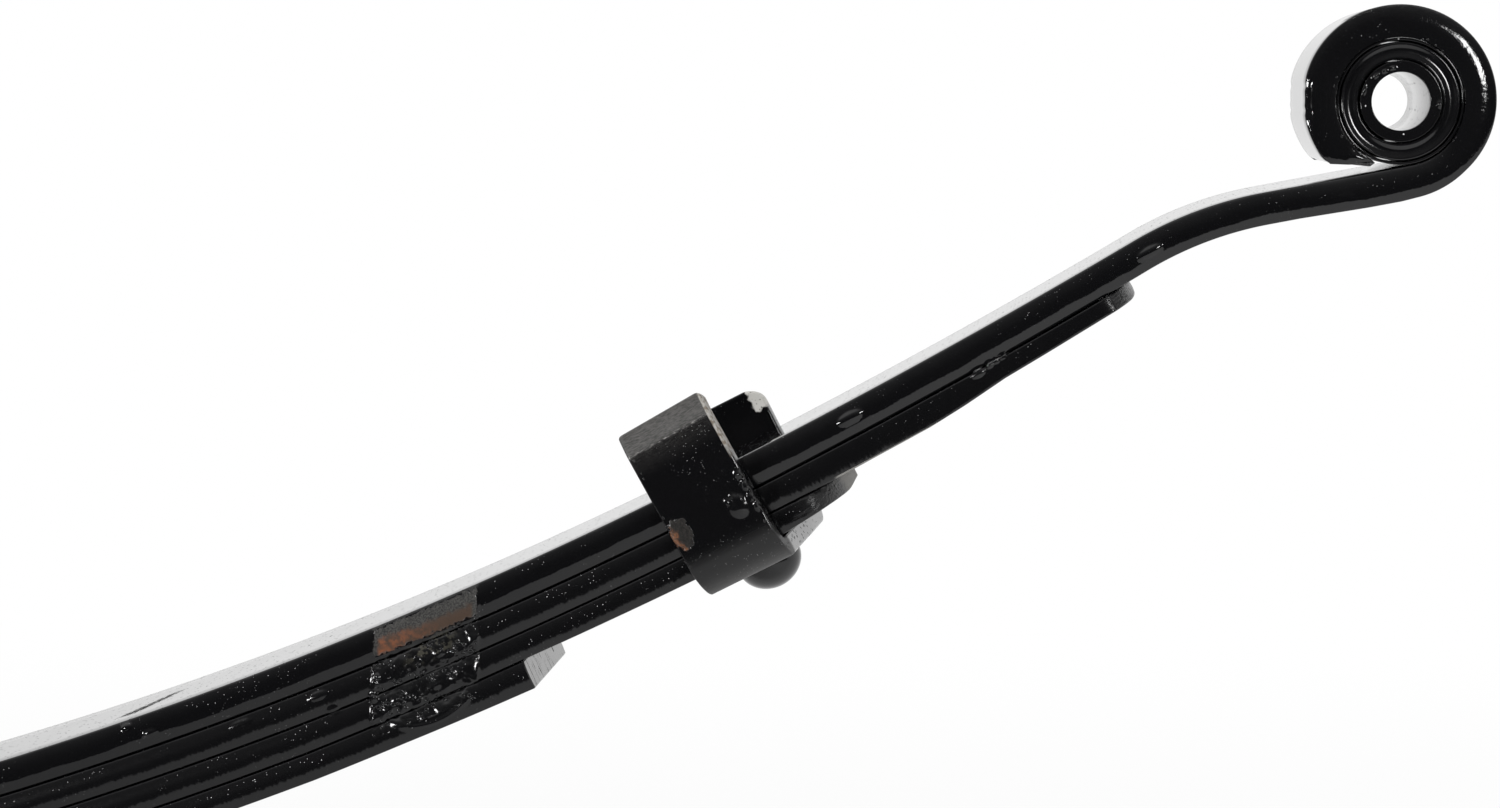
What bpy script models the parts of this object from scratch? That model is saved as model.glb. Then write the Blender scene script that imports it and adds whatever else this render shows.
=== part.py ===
"""Leaf spring of a light truck: four leaves, rolled eyes with rubber bushes, and rebound clips.

Units are metres and +Z is up. X runs along the spring, Y across it. The origin is on the axis of
the centre bolt, on the underside of the pack, where the axle seats.
"""

import math

import bmesh
import bpy
from mathutils import Matrix, Vector

# Leaf pack
LEAF_WIDTH = 0.0635
MAIN_THICKNESS = 0.0075
LEAF_THICKNESS = 0.0071
LEAF_GAP = 0.0003
EDGE_ROUND = 0.0024             # how far the rolled side edges stand out past the flat faces

# Line of the main leaf's top face, from the centre outwards
SEAT_HALF_LENGTH = 0.055        # flat part clamped on the axle
INNER_ARC_RADIUS = 1.1715
INNER_ARC_END = math.radians(26.9)
OUTER_ARC_RADIUS = 1.787
OUTER_ARC_END = math.radians(31.0)
BEND_RADIUS = 0.0968            # reverse bend that levels the leaf before its eye
EYE_APPROACH = math.radians(10.7)
EYE_STRAIGHT = 0.0368

# Eye, rolled upwards and cut off level above the leaf
EYE_INSIDE_RADIUS = 0.015875
EYE_GROWTH = 0.0009             # how much the roll opens by its end
EYE_CUT_BELOW_AXIS = 0.0156

# Tips of the lower leaves: each set back from the one above, thinned from below, corners trimmed
SECOND_SET_BACK = 0.006         # from the start of the main leaf's reverse bend
SECOND_TIP_THICKNESS = 0.0046
SECOND_TAPER_LENGTH = 0.050
SECOND_TRIM_LENGTH = 0.0057
SECOND_TRIM_DEPTH = 0.0125
THIRD_SET_BACK = 0.085
THIRD_TIP_THICKNESS = 0.0055
THIRD_TAPER_LENGTH = 0.018
THIRD_TRIM_LENGTH = 0.007
THIRD_TRIM_DEPTH = 0.010
FOURTH_SET_BACK = 0.0917
TIP_ROUND = 0.0012              # rounding where a trimmed corner meets the end

# Centre bolt and nut
BOLT_RADIUS = 0.00475
BOLT_CLEARANCE = 0.0004
BOLT_HEAD_RADIUS = 0.008
BOLT_HEAD_HEIGHT = 0.008
BOLT_TAIL = 0.005               # shank left above the nut
BOLT_CHAMFER = 0.0008
NUT_WALL = 0.0032               # from the bolt's hole to the nut's flats
NUT_HEIGHT = 0.0082

# Rebound clip: a flat strip bent to a U, riveted under the third leaf
CLIP_FROM_TIP = 0.030           # third leaf's tip to the middle of the clip
CLIP_WIDTH = 0.024
CLIP_THICKNESS = 0.005
CLIP_SIDE_GAP = 0.0003          # at the strip's inner edges, which the skew brings closer
CLIP_SKEW = math.radians(3.9)   # clip turned a little on its rivet
CLIP_BEND_RADIUS = 0.0035       # inside of the two lower bends
CLIP_NEAR_ARM = 0.0167          # arms above the main leaf's top face
CLIP_FAR_ARM = 0.0121
CLIP_LEAN_RADIUS = 0.020        # arm tips curl inwards
CLIP_LEAN = math.radians(18.0)
CLIP_EDGE = 0.0009              # broken edges of the strip
CLIP_TIP_BEVEL = 0.0022         # worn bevel at the outside of each arm's end

# Rivet of the clip
RIVET_RADIUS = 0.004
RIVET_CLEARANCE = 0.0003
RIVET_HEAD_RADIUS = 0.0082
RIVET_HEAD_HEIGHT = 0.0077
RIVET_SINK_RADIUS = 0.0060      # flush head, countersunk in the third leaf
RIVET_SINK_DEPTH = 0.0030

# Bush in each eye
BUSH_GAP = 0.0003
SHELL_WALL = 0.0007
SHELL_SET_IN = 0.0008           # shell's ends inside the faces of the eye
SHELL_CHAMFER = 0.0003
SLEEVE_BORE_RADIUS = 0.00715
SLEEVE_WALL = 0.00275
SLEEVE_STAND_OUT = 0.0012       # sleeve's ends outside the faces of the eye
SLEEVE_CHAMFER = 0.0006
RUBBER_SET_IN = 0.0006
RUBBER_LIP = 0.0008             # rims of the rubber beside the shell and the sleeve
GROOVE_DEPTH = 0.0040

# Where each half of the pack bends, as one hinge, measured along the main leaf from the centre
FLEX_DISTANCE = 0.310

# Fineness of the mesh
ARC_STEP = 0.026
BEND_STEPS = 7
EYE_STEP = math.radians(11.5)
EYE_CUT_STEPS = 3
EDGE_STEPS = 4
TURN_STEPS = 32
BEND_ARC_STEPS = 6
DOME_STEPS = 6
NUT_STEPS = 24
RIVET_LAND = 1.4                # flat of the clip around the rivet, in radii of the rivet's head
NUT_LAND = 1.5                  # flat of the leaves around the bolt, in radii of the nut
SHARP_ANGLE = math.radians(35.0)

HALF_WIDTH = LEAF_WIDTH / 2
LOWER_PITCH = LEAF_THICKNESS + LEAF_GAP
SECOND_TOP = MAIN_THICKNESS + LEAF_GAP
THIRD_TOP = SECOND_TOP + LOWER_PITCH
FOURTH_TOP = THIRD_TOP + LOWER_PITCH
PACK_HEIGHT = FOURTH_TOP + LEAF_THICKNESS
NUT_FLAT_RADIUS = BOLT_RADIUS + BOLT_CLEARANCE + NUT_WALL
BOLT_LAND = NUT_LAND * max(NUT_FLAT_RADIUS, BOLT_HEAD_RADIUS)

BEND_START = (
    SEAT_HALF_LENGTH
    + INNER_ARC_RADIUS * INNER_ARC_END
    + OUTER_ARC_RADIUS * (OUTER_ARC_END - INNER_ARC_END)
)
BEND_LENGTH = BEND_RADIUS * (OUTER_ARC_END - EYE_APPROACH)
EYE_START = BEND_START + BEND_LENGTH + EYE_STRAIGHT
SECOND_TIP = BEND_START - SECOND_SET_BACK
THIRD_TIP = SECOND_TIP - THIRD_SET_BACK
FOURTH_TIP = THIRD_TIP - FOURTH_SET_BACK
CLIP_DISTANCE = THIRD_TIP - CLIP_FROM_TIP
CLIP_INSIDE = (
    (HALF_WIDTH + CLIP_SIDE_GAP) / math.cos(CLIP_SKEW)
    + CLIP_WIDTH / 2 * math.tan(CLIP_SKEW)
)

PAINT = ((0.012, 0.012, 0.013), 0.22, 0.0)
RUBBER = ((0.018, 0.018, 0.018), 0.55, 0.0)
PLATED = ((0.42, 0.41, 0.38), 0.35, 1.0)


def top_line(distance):
    """Place (x, z) and slope on the main leaf's top face, a distance along it from the centre."""
    runs = (
        (SEAT_HALF_LENGTH, 0.0),
        (INNER_ARC_RADIUS * INNER_ARC_END, 1 / INNER_ARC_RADIUS),
        (OUTER_ARC_RADIUS * (OUTER_ARC_END - INNER_ARC_END), 1 / OUTER_ARC_RADIUS),
        (BEND_LENGTH, -1 / BEND_RADIUS),
        (EYE_STRAIGHT, 0.0),
    )
    x, z, slope = 0.0, PACK_HEIGHT, 0.0
    left = distance
    for length, curvature in runs:
        run = min(left, length)
        turned = slope + run * curvature
        if curvature:
            x += (math.sin(turned) - math.sin(slope)) / curvature
            z += (math.cos(slope) - math.cos(turned)) / curvature
        else:
            x += run * math.cos(slope)
            z += run * math.sin(slope)
        slope = turned
        left -= run
    return x, z, slope


def eye_axis():
    """Place (x, z) of the axis of the eye."""
    x, z, slope = top_line(EYE_START)
    return x - EYE_INSIDE_RADIUS * math.sin(slope), z + EYE_INSIDE_RADIUS * math.cos(slope)


def spread(start, end, step):
    """Even stations from start to end, about a step apart, the end included."""
    count = max(1, round((end - start) / step))
    return [start + (end - start) * i / count for i in range(1, count + 1)]


def section(half_width, thickness):
    """Bar section: points (across, below the top face) with rolled side edges."""
    points = []
    for side in (1, -1):
        for i in range(EDGE_STEPS + 1):
            turn = math.pi * i / EDGE_STEPS
            across = half_width - EDGE_ROUND + EDGE_ROUND * math.sin(turn)
            below = thickness / 2 * (1 - side * math.cos(turn))
            points.append((side * across, below))
    return points


def set_square(x, z, slope, depth, outline):
    """The outline's points in space, square to the path and a depth below the main leaf's top."""
    return [
        Vector((x + (depth + below) * math.sin(slope), across, z - (depth + below) * math.cos(slope)))
        for across, below in outline
    ]


def mirrored(half):
    """Rings of the whole bar from those of its +X half."""
    other = [[Vector((-p.x, p.y, p.z)) for p in ring] for ring in reversed(half)]
    return other + half


def loft(bm, rings):
    """Closed solid through rings of points, in order, with flat ends."""
    loops = [[bm.verts.new(point) for point in ring] for ring in rings]
    for near, far in zip(loops, loops[1:]):
        for i in range(len(near)):
            j = (i + 1) % len(near)
            bm.faces.new((near[i], near[j], far[j], far[i]))
    bm.faces.new(loops[0])
    bm.faces.new(reversed(loops[-1]))
    bmesh.ops.recalc_face_normals(bm, faces=bm.faces)


def turn(bm, profile):
    """Solid turned about Z from a profile of (radius, height), closed on itself or on the axis."""
    verts = [bm.verts.new((radius, 0.0, height)) for radius, height in profile]
    edges = [bm.edges.new(pair) for pair in zip(verts, verts[1:])]
    if profile[0][0] > 0:
        edges.append(bm.edges.new((verts[-1], verts[0])))
    bmesh.ops.spin(
        bm, geom=verts + edges, cent=(0, 0, 0), axis=(0, 0, 1),
        angle=math.tau, steps=TURN_STEPS, use_merge=True,
    )
    bmesh.ops.remove_doubles(bm, verts=bm.verts, dist=1e-6)
    bmesh.ops.recalc_face_normals(bm, faces=bm.faces)


def clear_scene():
    for obj in list(bpy.data.objects):
        bpy.data.objects.remove(obj, do_unlink=True)


def to_mesh(name, bm):
    mesh = bpy.data.meshes.new(name)
    bm.to_mesh(mesh)
    bm.free()
    mesh.shade_smooth()
    mesh.set_sharp_from_angle(angle=SHARP_ANGLE)
    return mesh


def add_object(name, mesh, finish, matrix=None, parent=None):
    """Object with its own material, put at a place in the world, under its parent."""
    obj = bpy.data.objects.new(name, mesh)
    bpy.context.scene.collection.objects.link(obj)
    colour, roughness, metallic = finish
    material = bpy.data.materials.new(name + "_finish")
    material.use_nodes = True
    shader = material.node_tree.nodes["Principled BSDF"]
    shader.inputs["Base Color"].default_value = (*colour, 1.0)
    shader.inputs["Roughness"].default_value = roughness
    shader.inputs["Metallic"].default_value = metallic
    if not mesh.materials:
        mesh.materials.append(None)
    obj.material_slots[0].link = "OBJECT"
    obj.material_slots[0].material = material
    if parent:
        obj.parent = parent
        obj.matrix_parent_inverse = parent.matrix_basis.inverted()
    obj.matrix_basis = matrix or Matrix.Identity(4)
    return obj


def add_empty(name, matrix):
    empty = bpy.data.objects.new(name, None)
    bpy.context.scene.collection.objects.link(empty)
    empty.matrix_basis = matrix
    return empty


def cut(obj, name, profile, matrix):
    """Take a turned shape out of an object."""
    bm = bmesh.new()
    turn(bm, profile)
    cutter = bpy.data.objects.new(name, to_mesh(name, bm))
    bpy.context.scene.collection.objects.link(cutter)
    cutter.matrix_world = matrix
    cutter.hide_render = True
    cutter.display_type = "WIRE"
    modifier = obj.modifiers.new(name, "BOOLEAN")
    modifier.operation = "DIFFERENCE"
    modifier.object = cutter


def cylinder(radius, low, high):
    """Profile of a plain cylinder on the axis."""
    return [(0.0, low), (radius, low), (radius, high), (0.0, high)]


def leaf_stations(end):
    """Stations along a leaf, shared by the pack so that its leaves stay parallel."""
    inner_end = SEAT_HALF_LENGTH + INNER_ARC_RADIUS * INNER_ARC_END
    stations = [BOLT_LAND, SEAT_HALF_LENGTH]
    stations += spread(SEAT_HALF_LENGTH, inner_end, ARC_STEP)
    stations += spread(inner_end, BEND_START, ARC_STEP)
    return [station for station in stations if station < end]


def main_leaf_rings():
    """Rings of the +X half of the main leaf, from the seat to the cut end of its eye."""
    outline = section(HALF_WIDTH, MAIN_THICKNESS)
    stations = leaf_stations(BEND_START - ARC_STEP / 4) + [BEND_START]
    stations += spread(BEND_START, BEND_START + BEND_LENGTH, BEND_LENGTH / BEND_STEPS)
    rings = [set_square(*top_line(station), 0.0, outline) for station in stations]

    axis_x, axis_z = eye_axis()
    quarter = math.pi / 2
    cut_reach = math.acos(EYE_CUT_BELOW_AXIS / (EYE_INSIDE_RADIUS + EYE_GROWTH))
    end_turn = math.tau - cut_reach
    last_square = math.tau - math.acos(
        EYE_CUT_BELOW_AXIS / (EYE_INSIDE_RADIUS + EYE_GROWTH + MAIN_THICKNESS)
    ) - EYE_STEP / 2

    def eye_point(turned, across, below):
        opened = EYE_GROWTH * max(0.0, (turned - quarter) / (end_turn - quarter))
        radius = EYE_INSIDE_RADIUS + opened + below
        return Vector((axis_x + radius * math.sin(turned), across, axis_z - radius * math.cos(turned)))

    def cut_turn(below):
        """How far round the roll the level cut lies, at a depth in the bar."""
        radius = EYE_INSIDE_RADIUS + EYE_GROWTH + below
        return math.tau - math.acos(EYE_CUT_BELOW_AXIS / radius)

    turns = [EYE_APPROACH] + spread(EYE_APPROACH, last_square, EYE_STEP)
    for turned in turns:
        rings.append([eye_point(turned, across, below) for across, below in outline])
    for step in range(1, EYE_CUT_STEPS + 1):
        share = step / EYE_CUT_STEPS
        rings.append([
            eye_point(last_square + share * (cut_turn(below) - last_square), across, below)
            for across, below in outline
        ])
    return rings


def lower_leaf_rings(depth, tip, tip_thickness, taper_length, trim_length, trim_depth):
    """Rings of the +X half of a lower leaf whose top lies a depth below the main leaf's top."""
    trim_start = tip - trim_length - (TIP_ROUND if trim_length else 0.0)
    taper_start = tip - taper_length
    stations = leaf_stations(min(trim_start, taper_start) - ARC_STEP / 4)
    marks = {taper_start, trim_start, tip}
    if trim_length:
        marks.add(tip - TIP_ROUND)
    if taper_length:
        marks.update(spread(taper_start, trim_start, ARC_STEP))
    stations += sorted(marks)

    rings = []
    for station in stations:
        thickness = LEAF_THICKNESS
        if station > taper_start:
            share = (station - taper_start) / taper_length
            thickness += share * (tip_thickness - LEAF_THICKNESS)
        half_width = HALF_WIDTH
        if trim_length and station > trim_start:
            half_width -= trim_depth * min(1.0, (station - trim_start) / trim_length)
            if station == tip:
                half_width -= 2 * TIP_ROUND
        outline = section(half_width, thickness)
        rings.append(set_square(*top_line(station), depth, outline))
    return rings


def make_leaf(name, rings):
    bm = bmesh.new()
    loft(bm, mirrored(rings))
    leaf = add_object(name, to_mesh(name, bm), PAINT)
    hole = cylinder(BOLT_RADIUS + BOLT_CLEARANCE, -PACK_HEIGHT, 2 * PACK_HEIGHT)
    cut(leaf, name + "_bolt_hole", hole, Matrix.Identity(4))
    return leaf


def make_leaves():
    make_leaf("main_leaf", main_leaf_rings())
    make_leaf("second_leaf", lower_leaf_rings(
        SECOND_TOP, SECOND_TIP, SECOND_TIP_THICKNESS, SECOND_TAPER_LENGTH,
        SECOND_TRIM_LENGTH, SECOND_TRIM_DEPTH,
    ))
    third = make_leaf("third_leaf", lower_leaf_rings(
        THIRD_TOP, THIRD_TIP, THIRD_TIP_THICKNESS, THIRD_TAPER_LENGTH,
        THIRD_TRIM_LENGTH, THIRD_TRIM_DEPTH,
    ))
    make_leaf("fourth_leaf", lower_leaf_rings(FOURTH_TOP, FOURTH_TIP, LEAF_THICKNESS, 0.0, 0.0, 0.0))
    return third


def make_bolt():
    """Centre bolt: round head in the axle's locating hole, tail above the nut."""
    head_top = -LEAF_GAP
    head_low = head_top - BOLT_HEAD_HEIGHT
    tail = PACK_HEIGHT + LEAF_GAP + NUT_HEIGHT + BOLT_TAIL
    profile = [
        (0.0, head_low),
        (BOLT_HEAD_RADIUS - BOLT_CHAMFER, head_low),
        (BOLT_HEAD_RADIUS, head_low + BOLT_CHAMFER),
        (BOLT_HEAD_RADIUS, head_top),
        (BOLT_RADIUS, head_top),
        (BOLT_RADIUS, tail - BOLT_CHAMFER),
        (BOLT_RADIUS - BOLT_CHAMFER, tail),
        (0.0, tail),
    ]
    bm = bmesh.new()
    turn(bm, profile)
    add_object("centre_bolt", to_mesh("centre_bolt", bm), PLATED)


def make_nut():
    """Hexagon nut on the main leaf: rings up the outside and back down the hole."""
    hole = BOLT_RADIUS + BOLT_CLEARANCE
    flat = NUT_FLAT_RADIUS
    sixth = math.tau / 6
    low = PACK_HEIGHT + LEAF_GAP
    high = low + NUT_HEIGHT
    turns = [math.tau * i / NUT_STEPS for i in range(NUT_STEPS)]

    def hexagon(angle):
        return flat / math.cos((angle % sixth) - sixth / 2)

    bm = bmesh.new()
    loops = []
    for height, radius_at in ((low, hexagon), (high, hexagon), (high, None), (low, None)):
        loops.append([
            bm.verts.new((
                (radius_at(a) if radius_at else hole) * math.cos(a),
                (radius_at(a) if radius_at else hole) * math.sin(a),
                height,
            ))
            for a in turns
        ])
    for near, far in zip(loops, loops[1:] + loops[:1]):
        for i in range(NUT_STEPS):
            j = (i + 1) % NUT_STEPS
            bm.faces.new((near[i], near[j], far[j], far[i]))
    bmesh.ops.recalc_face_normals(bm, faces=bm.faces)
    add_object("centre_nut", to_mesh("centre_nut", bm), PLATED)


def clip_half_path(arm):
    """Inner face of one half of the clip: (across, up, heading) from the middle to the arm's tip.

    Up is square to the leaves, from the main leaf's top face.
    """
    inside = CLIP_INSIDE
    floor = -(THIRD_TOP + LEAF_THICKNESS + LEAF_GAP)
    quarter = math.pi / 2
    path = [(0.0, floor, 0.0), (RIVET_HEAD_RADIUS * RIVET_LAND, floor, 0.0)]
    for i in range(BEND_ARC_STEPS + 1):
        heading = quarter * i / BEND_ARC_STEPS
        across = inside - CLIP_BEND_RADIUS * (1 - math.sin(heading))
        path.append((across, floor + CLIP_BEND_RADIUS * (1 - math.cos(heading)), heading))
    lean_start = arm - CLIP_LEAN_RADIUS * math.sin(CLIP_LEAN) - CLIP_TIP_BEVEL * math.cos(CLIP_LEAN)
    for i in range(BEND_ARC_STEPS + 1):
        lean = CLIP_LEAN * i / BEND_ARC_STEPS
        across = inside - CLIP_LEAN_RADIUS * (1 - math.cos(lean))
        path.append((across, lean_start + CLIP_LEAN_RADIUS * math.sin(lean), quarter + lean))
    path.append((path[-1][0] - CLIP_TIP_BEVEL * math.sin(CLIP_LEAN), arm, quarter + CLIP_LEAN))
    return path


def strip_section(path_point, side, bevel):
    """Ring of the strip square to its path, its outside edge drawn in by a bevel."""
    across, up, heading = path_point
    out_across, out_up = math.sin(heading), -math.cos(heading)
    half, edge = CLIP_WIDTH / 2, CLIP_EDGE
    thick = CLIP_THICKNESS - bevel
    corners = [
        (-half, edge), (-half, thick - edge), (-half + edge, thick), (half - edge, thick),
        (half, thick - edge), (half, edge), (half - edge, 0.0), (-half + edge, 0.0),
    ]
    return [
        Vector((along, side * (across + out * out_across), up + out * out_up))
        for along, out in corners
    ]


def make_clip_mesh():
    """Clip in its own frame: X along the leaf, Y across it, Z up from the main leaf's top face."""
    rings = []
    near = clip_half_path(CLIP_NEAR_ARM)
    far = clip_half_path(CLIP_FAR_ARM)
    for side, path in ((-1, near), (1, far)):
        half = [strip_section(point, side, 0.0) for point in path[:-1]]
        half.append(strip_section(path[-1], side, CLIP_TIP_BEVEL))
        rings = half[::-1] if side < 0 else rings + half[1:]
    bm = bmesh.new()
    loft(bm, rings)
    return to_mesh("clip", bm)


def make_rivet_mesh():
    """Rivet in the clip's frame: domed head under the strip, flush head in the third leaf's top."""
    top = -THIRD_TOP - RIVET_CLEARANCE
    seat = -(THIRD_TOP + LEAF_THICKNESS + LEAF_GAP + CLIP_THICKNESS) - RIVET_CLEARANCE
    profile = []
    for i in range(DOME_STEPS + 1):
        turned = math.pi / 2 * i / DOME_STEPS
        profile.append((RIVET_HEAD_RADIUS * math.sin(turned), seat - RIVET_HEAD_HEIGHT * math.cos(turned)))
    profile += [
        (RIVET_RADIUS, seat),
        (RIVET_RADIUS, top - RIVET_SINK_DEPTH),
        (RIVET_SINK_RADIUS, top),
        (0.0, top),
    ]
    profile[0] = (0.0, profile[0][1])
    bm = bmesh.new()
    turn(bm, profile)
    return to_mesh("clip_rivet", bm)


def rivet_hole():
    """Hole for the rivet through the strip and the third leaf, countersunk at the leaf's top."""
    top = -THIRD_TOP
    radius = RIVET_RADIUS + RIVET_CLEARANCE
    sink = RIVET_SINK_RADIUS + RIVET_CLEARANCE
    low = -(THIRD_TOP + LEAF_THICKNESS + CLIP_THICKNESS) * 2
    return [
        (0.0, low), (radius, low), (radius, top - RIVET_SINK_DEPTH - RIVET_CLEARANCE),
        (sink, top - RIVET_CLEARANCE), (sink, top + LEAF_GAP / 2), (0.0, top + LEAF_GAP / 2),
    ]


def tube(inner, outer, half_length, chamfer):
    """Profile of a tube about the axis, with broken outer edges."""
    return [
        (outer - chamfer, half_length), (inner + chamfer, half_length), (inner, half_length - chamfer),
        (inner, chamfer - half_length), (inner + chamfer, -half_length), (outer - chamfer, -half_length),
        (outer, chamfer - half_length), (outer, half_length - chamfer),
    ]


def make_bush_meshes():
    """Shell, rubber and sleeve of a bush, turned about Z."""
    shell_outer = EYE_INSIDE_RADIUS - BUSH_GAP
    shell_inner = shell_outer - SHELL_WALL
    sleeve_outer = SLEEVE_BORE_RADIUS + SLEEVE_WALL
    rubber_outer = shell_inner - BUSH_GAP
    rubber_inner = sleeve_outer + BUSH_GAP
    lip = min(RUBBER_LIP, (rubber_outer - rubber_inner) / 4)
    face = HALF_WIDTH - RUBBER_SET_IN
    floor = face - GROOVE_DEPTH
    wall = (rubber_outer - rubber_inner) / 4
    end = [
        (rubber_outer, face - lip), (rubber_outer - lip / 2, face), (rubber_outer - lip, face),
        (rubber_outer - wall, floor + lip), (rubber_outer - wall - lip / 2, floor),
        (rubber_inner + wall + lip / 2, floor), (rubber_inner + wall, floor + lip),
        (rubber_inner + lip, face), (rubber_inner + lip / 2, face), (rubber_inner, face - lip),
    ]
    rubber = end + [(radius, -height) for radius, height in reversed(end)]
    profiles = {
        "bush_shell": tube(shell_inner, shell_outer, HALF_WIDTH - SHELL_SET_IN, SHELL_CHAMFER),
        "bush_rubber": rubber,
        "inner_sleeve": tube(SLEEVE_BORE_RADIUS, sleeve_outer, HALF_WIDTH + SLEEVE_STAND_OUT, SLEEVE_CHAMFER),
    }
    meshes = {}
    for name, profile in profiles.items():
        bm = bmesh.new()
        turn(bm, profile)
        meshes[name] = to_mesh(name, bm)
    return meshes


def make_ends(third):
    """Clip, rivet and bush of each end, under an empty on the hinge that stands for the flexing."""
    flex_x, flex_z, flex_slope = top_line(FLEX_DISTANCE)
    flex = Matrix.Translation((
        flex_x + PACK_HEIGHT / 2 * math.sin(flex_slope), 0.0, flex_z - PACK_HEIGHT / 2 * math.cos(flex_slope),
    ))
    clip_x, clip_z, clip_slope = top_line(CLIP_DISTANCE)
    on_leaf = Matrix.Translation((clip_x, 0.0, clip_z)) @ Matrix.Rotation(-clip_slope, 4, "Y")
    on_leaf = on_leaf @ Matrix.Rotation(-CLIP_SKEW, 4, "Z")
    axis_x, axis_z = eye_axis()
    in_eye = Matrix.Translation((axis_x, 0.0, axis_z)) @ Matrix.Rotation(math.pi / 2, 4, "X")

    clip_mesh = make_clip_mesh()
    rivet_mesh = make_rivet_mesh()
    bush_meshes = make_bush_meshes()
    for end, half_turn in (("front", 0.0), ("rear", math.pi)):
        about = Matrix.Rotation(half_turn, 4, "Z")
        arm = add_empty(end + "_arm", about @ flex)
        clip = add_object(end + "_clip", clip_mesh, PAINT, about @ on_leaf, arm)
        add_object(end + "_clip_rivet", rivet_mesh, PAINT, about @ on_leaf, arm)
        cut(clip, end + "_clip_hole", rivet_hole(), about @ on_leaf)
        cut(third, end + "_leaf_hole", rivet_hole(), about @ on_leaf)
        for name, finish in (("bush_shell", PAINT), ("bush_rubber", RUBBER), ("inner_sleeve", PAINT)):
            add_object(f"{end}_{name}", bush_meshes[name], finish, about @ in_eye, arm)


def main():
    clear_scene()
    third = make_leaves()
    make_bolt()
    make_nut()
    make_ends(third)


main()
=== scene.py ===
"""Looks of the leaf spring: dipped black paint, drips and rust on its leaves, clips and bushes.

Units are metres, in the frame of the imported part: X along the spring, Y across it, Z up from the
axle seat. A place on a leaf is given unrolled, as the distance along it from the centre bolt, the
distance across it, and the depth below the main leaf's top face.
"""

import math
import random
from types import SimpleNamespace

import bmesh
import bpy
import numpy as np
from mathutils import Matrix, Vector, noise


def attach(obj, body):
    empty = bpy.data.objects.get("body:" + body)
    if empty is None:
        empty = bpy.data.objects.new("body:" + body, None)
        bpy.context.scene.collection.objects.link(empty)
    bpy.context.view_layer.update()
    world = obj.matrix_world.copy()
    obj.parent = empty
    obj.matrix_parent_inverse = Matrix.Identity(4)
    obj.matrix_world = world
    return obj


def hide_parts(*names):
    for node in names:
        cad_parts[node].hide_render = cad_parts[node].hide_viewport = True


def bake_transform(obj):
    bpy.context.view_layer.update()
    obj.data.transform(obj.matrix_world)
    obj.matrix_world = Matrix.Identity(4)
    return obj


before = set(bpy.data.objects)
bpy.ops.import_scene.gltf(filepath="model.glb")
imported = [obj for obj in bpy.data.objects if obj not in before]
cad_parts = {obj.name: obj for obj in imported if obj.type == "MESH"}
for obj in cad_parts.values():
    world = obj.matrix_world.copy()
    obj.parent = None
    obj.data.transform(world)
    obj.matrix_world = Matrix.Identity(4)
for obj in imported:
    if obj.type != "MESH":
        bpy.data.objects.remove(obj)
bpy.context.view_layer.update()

# Camera of the photograph
CAMERA_PLACE = (0.6784, -1.0110, 0.2549)
CAMERA_FORWARD = (-0.07735, 0.99391, -0.07846)
CAMERA_LENS = 94.8
SENSOR_WIDTH = 36.0

# Line of the leaves, as in the solids
LEAF_WIDTH = 0.0635
MAIN_THICKNESS = 0.0075
LEAF_THICKNESS = 0.0071
LEAF_GAP = 0.0003
SEAT_HALF_LENGTH = 0.055
INNER_ARC_RADIUS = 1.1715
INNER_ARC_END = math.radians(26.9)
OUTER_ARC_RADIUS = 1.787
OUTER_ARC_END = math.radians(31.0)
BEND_RADIUS = 0.0968
EYE_APPROACH = math.radians(10.7)
EYE_STRAIGHT = 0.0368
EYE_INSIDE_RADIUS = 0.015875
EYE_GROWTH = 0.0009
EYE_CUT_BELOW_AXIS = 0.0156
SCROLL_THINNING = 0.0008        # how much thinner the drawn end of the scroll is
SCROLL_THIN_LENGTH = 0.020
SCROLL_SKEW_LENGTH = 0.014      # last stretch of the scroll, where its rings lean to the level cut

# Rolled side edges of a leaf, and the rounding of its ends
SIDE_BULGE_RADIUS = 0.0080
FLAT_BULGE_RADIUS = 0.0200      # flatter side of the second leaf beyond the clip
SIDE_CORNER_RADIUS = 0.0005
INNER_EDGE_FILL = 0.85          # how far paint and upset metal square up the inner edge of the eye
EYE_FILL_DEPTH = 0.006          # how far paint reaches in between eye and bush
EYE_SQUARED_TURN = (math.radians(20), math.radians(80))
EYE_FILLED_TURN = (math.radians(40), math.radians(70))
SCROLL_ROUND = 0.0006
SCROLL_ROUND_STEPS = 3
TIP_ROUND = 0.0009
TIP_ROUND_LENGTH = 0.0018
TRIM_STEPS = 14
SHEAR_ROUND = 0.0003
BOLT_HOLE_RADIUS = 0.00515

# Flat spot on the back of the scroll, and notches across it
DENT_TURN = math.radians(268)
DENT_HALF_LENGTH = 0.0060
DENT_DEPTH = 0.0004
NOTCHES = (-0.0030, 0.0002, 0.0030)
NOTCH_HALF_WIDTH = 0.0005
NOTCH_DEPTH = 0.00025

# Fineness: steps of half a section, and zones of rings along a leaf as (start, spacing)
SIDE_STEPS = 11
CORNER_STEPS = 3
TOP_STEPS = 6
CLIP_TOP_STEPS = 40
PLAIN_RING = 0.0040
FRONT_RINGS = ((0.0, PLAIN_RING), (0.380, 0.0008), (0.505, 0.0004), (0.552, 0.0008))
REAR_RINGS = ((0.0, PLAIN_RING), (0.560, 0.0020))
DRIP_RING = 0.0003              # spacing of the rings over a drip
DRIP_REACH = 1.2                # of those rings, in half lengths of the drip
REAR_SHIFT = 5.0                # moves the rear half's grain along, so that it isn't a copy
SHARP_ANGLE = math.radians(40.0)

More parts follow.
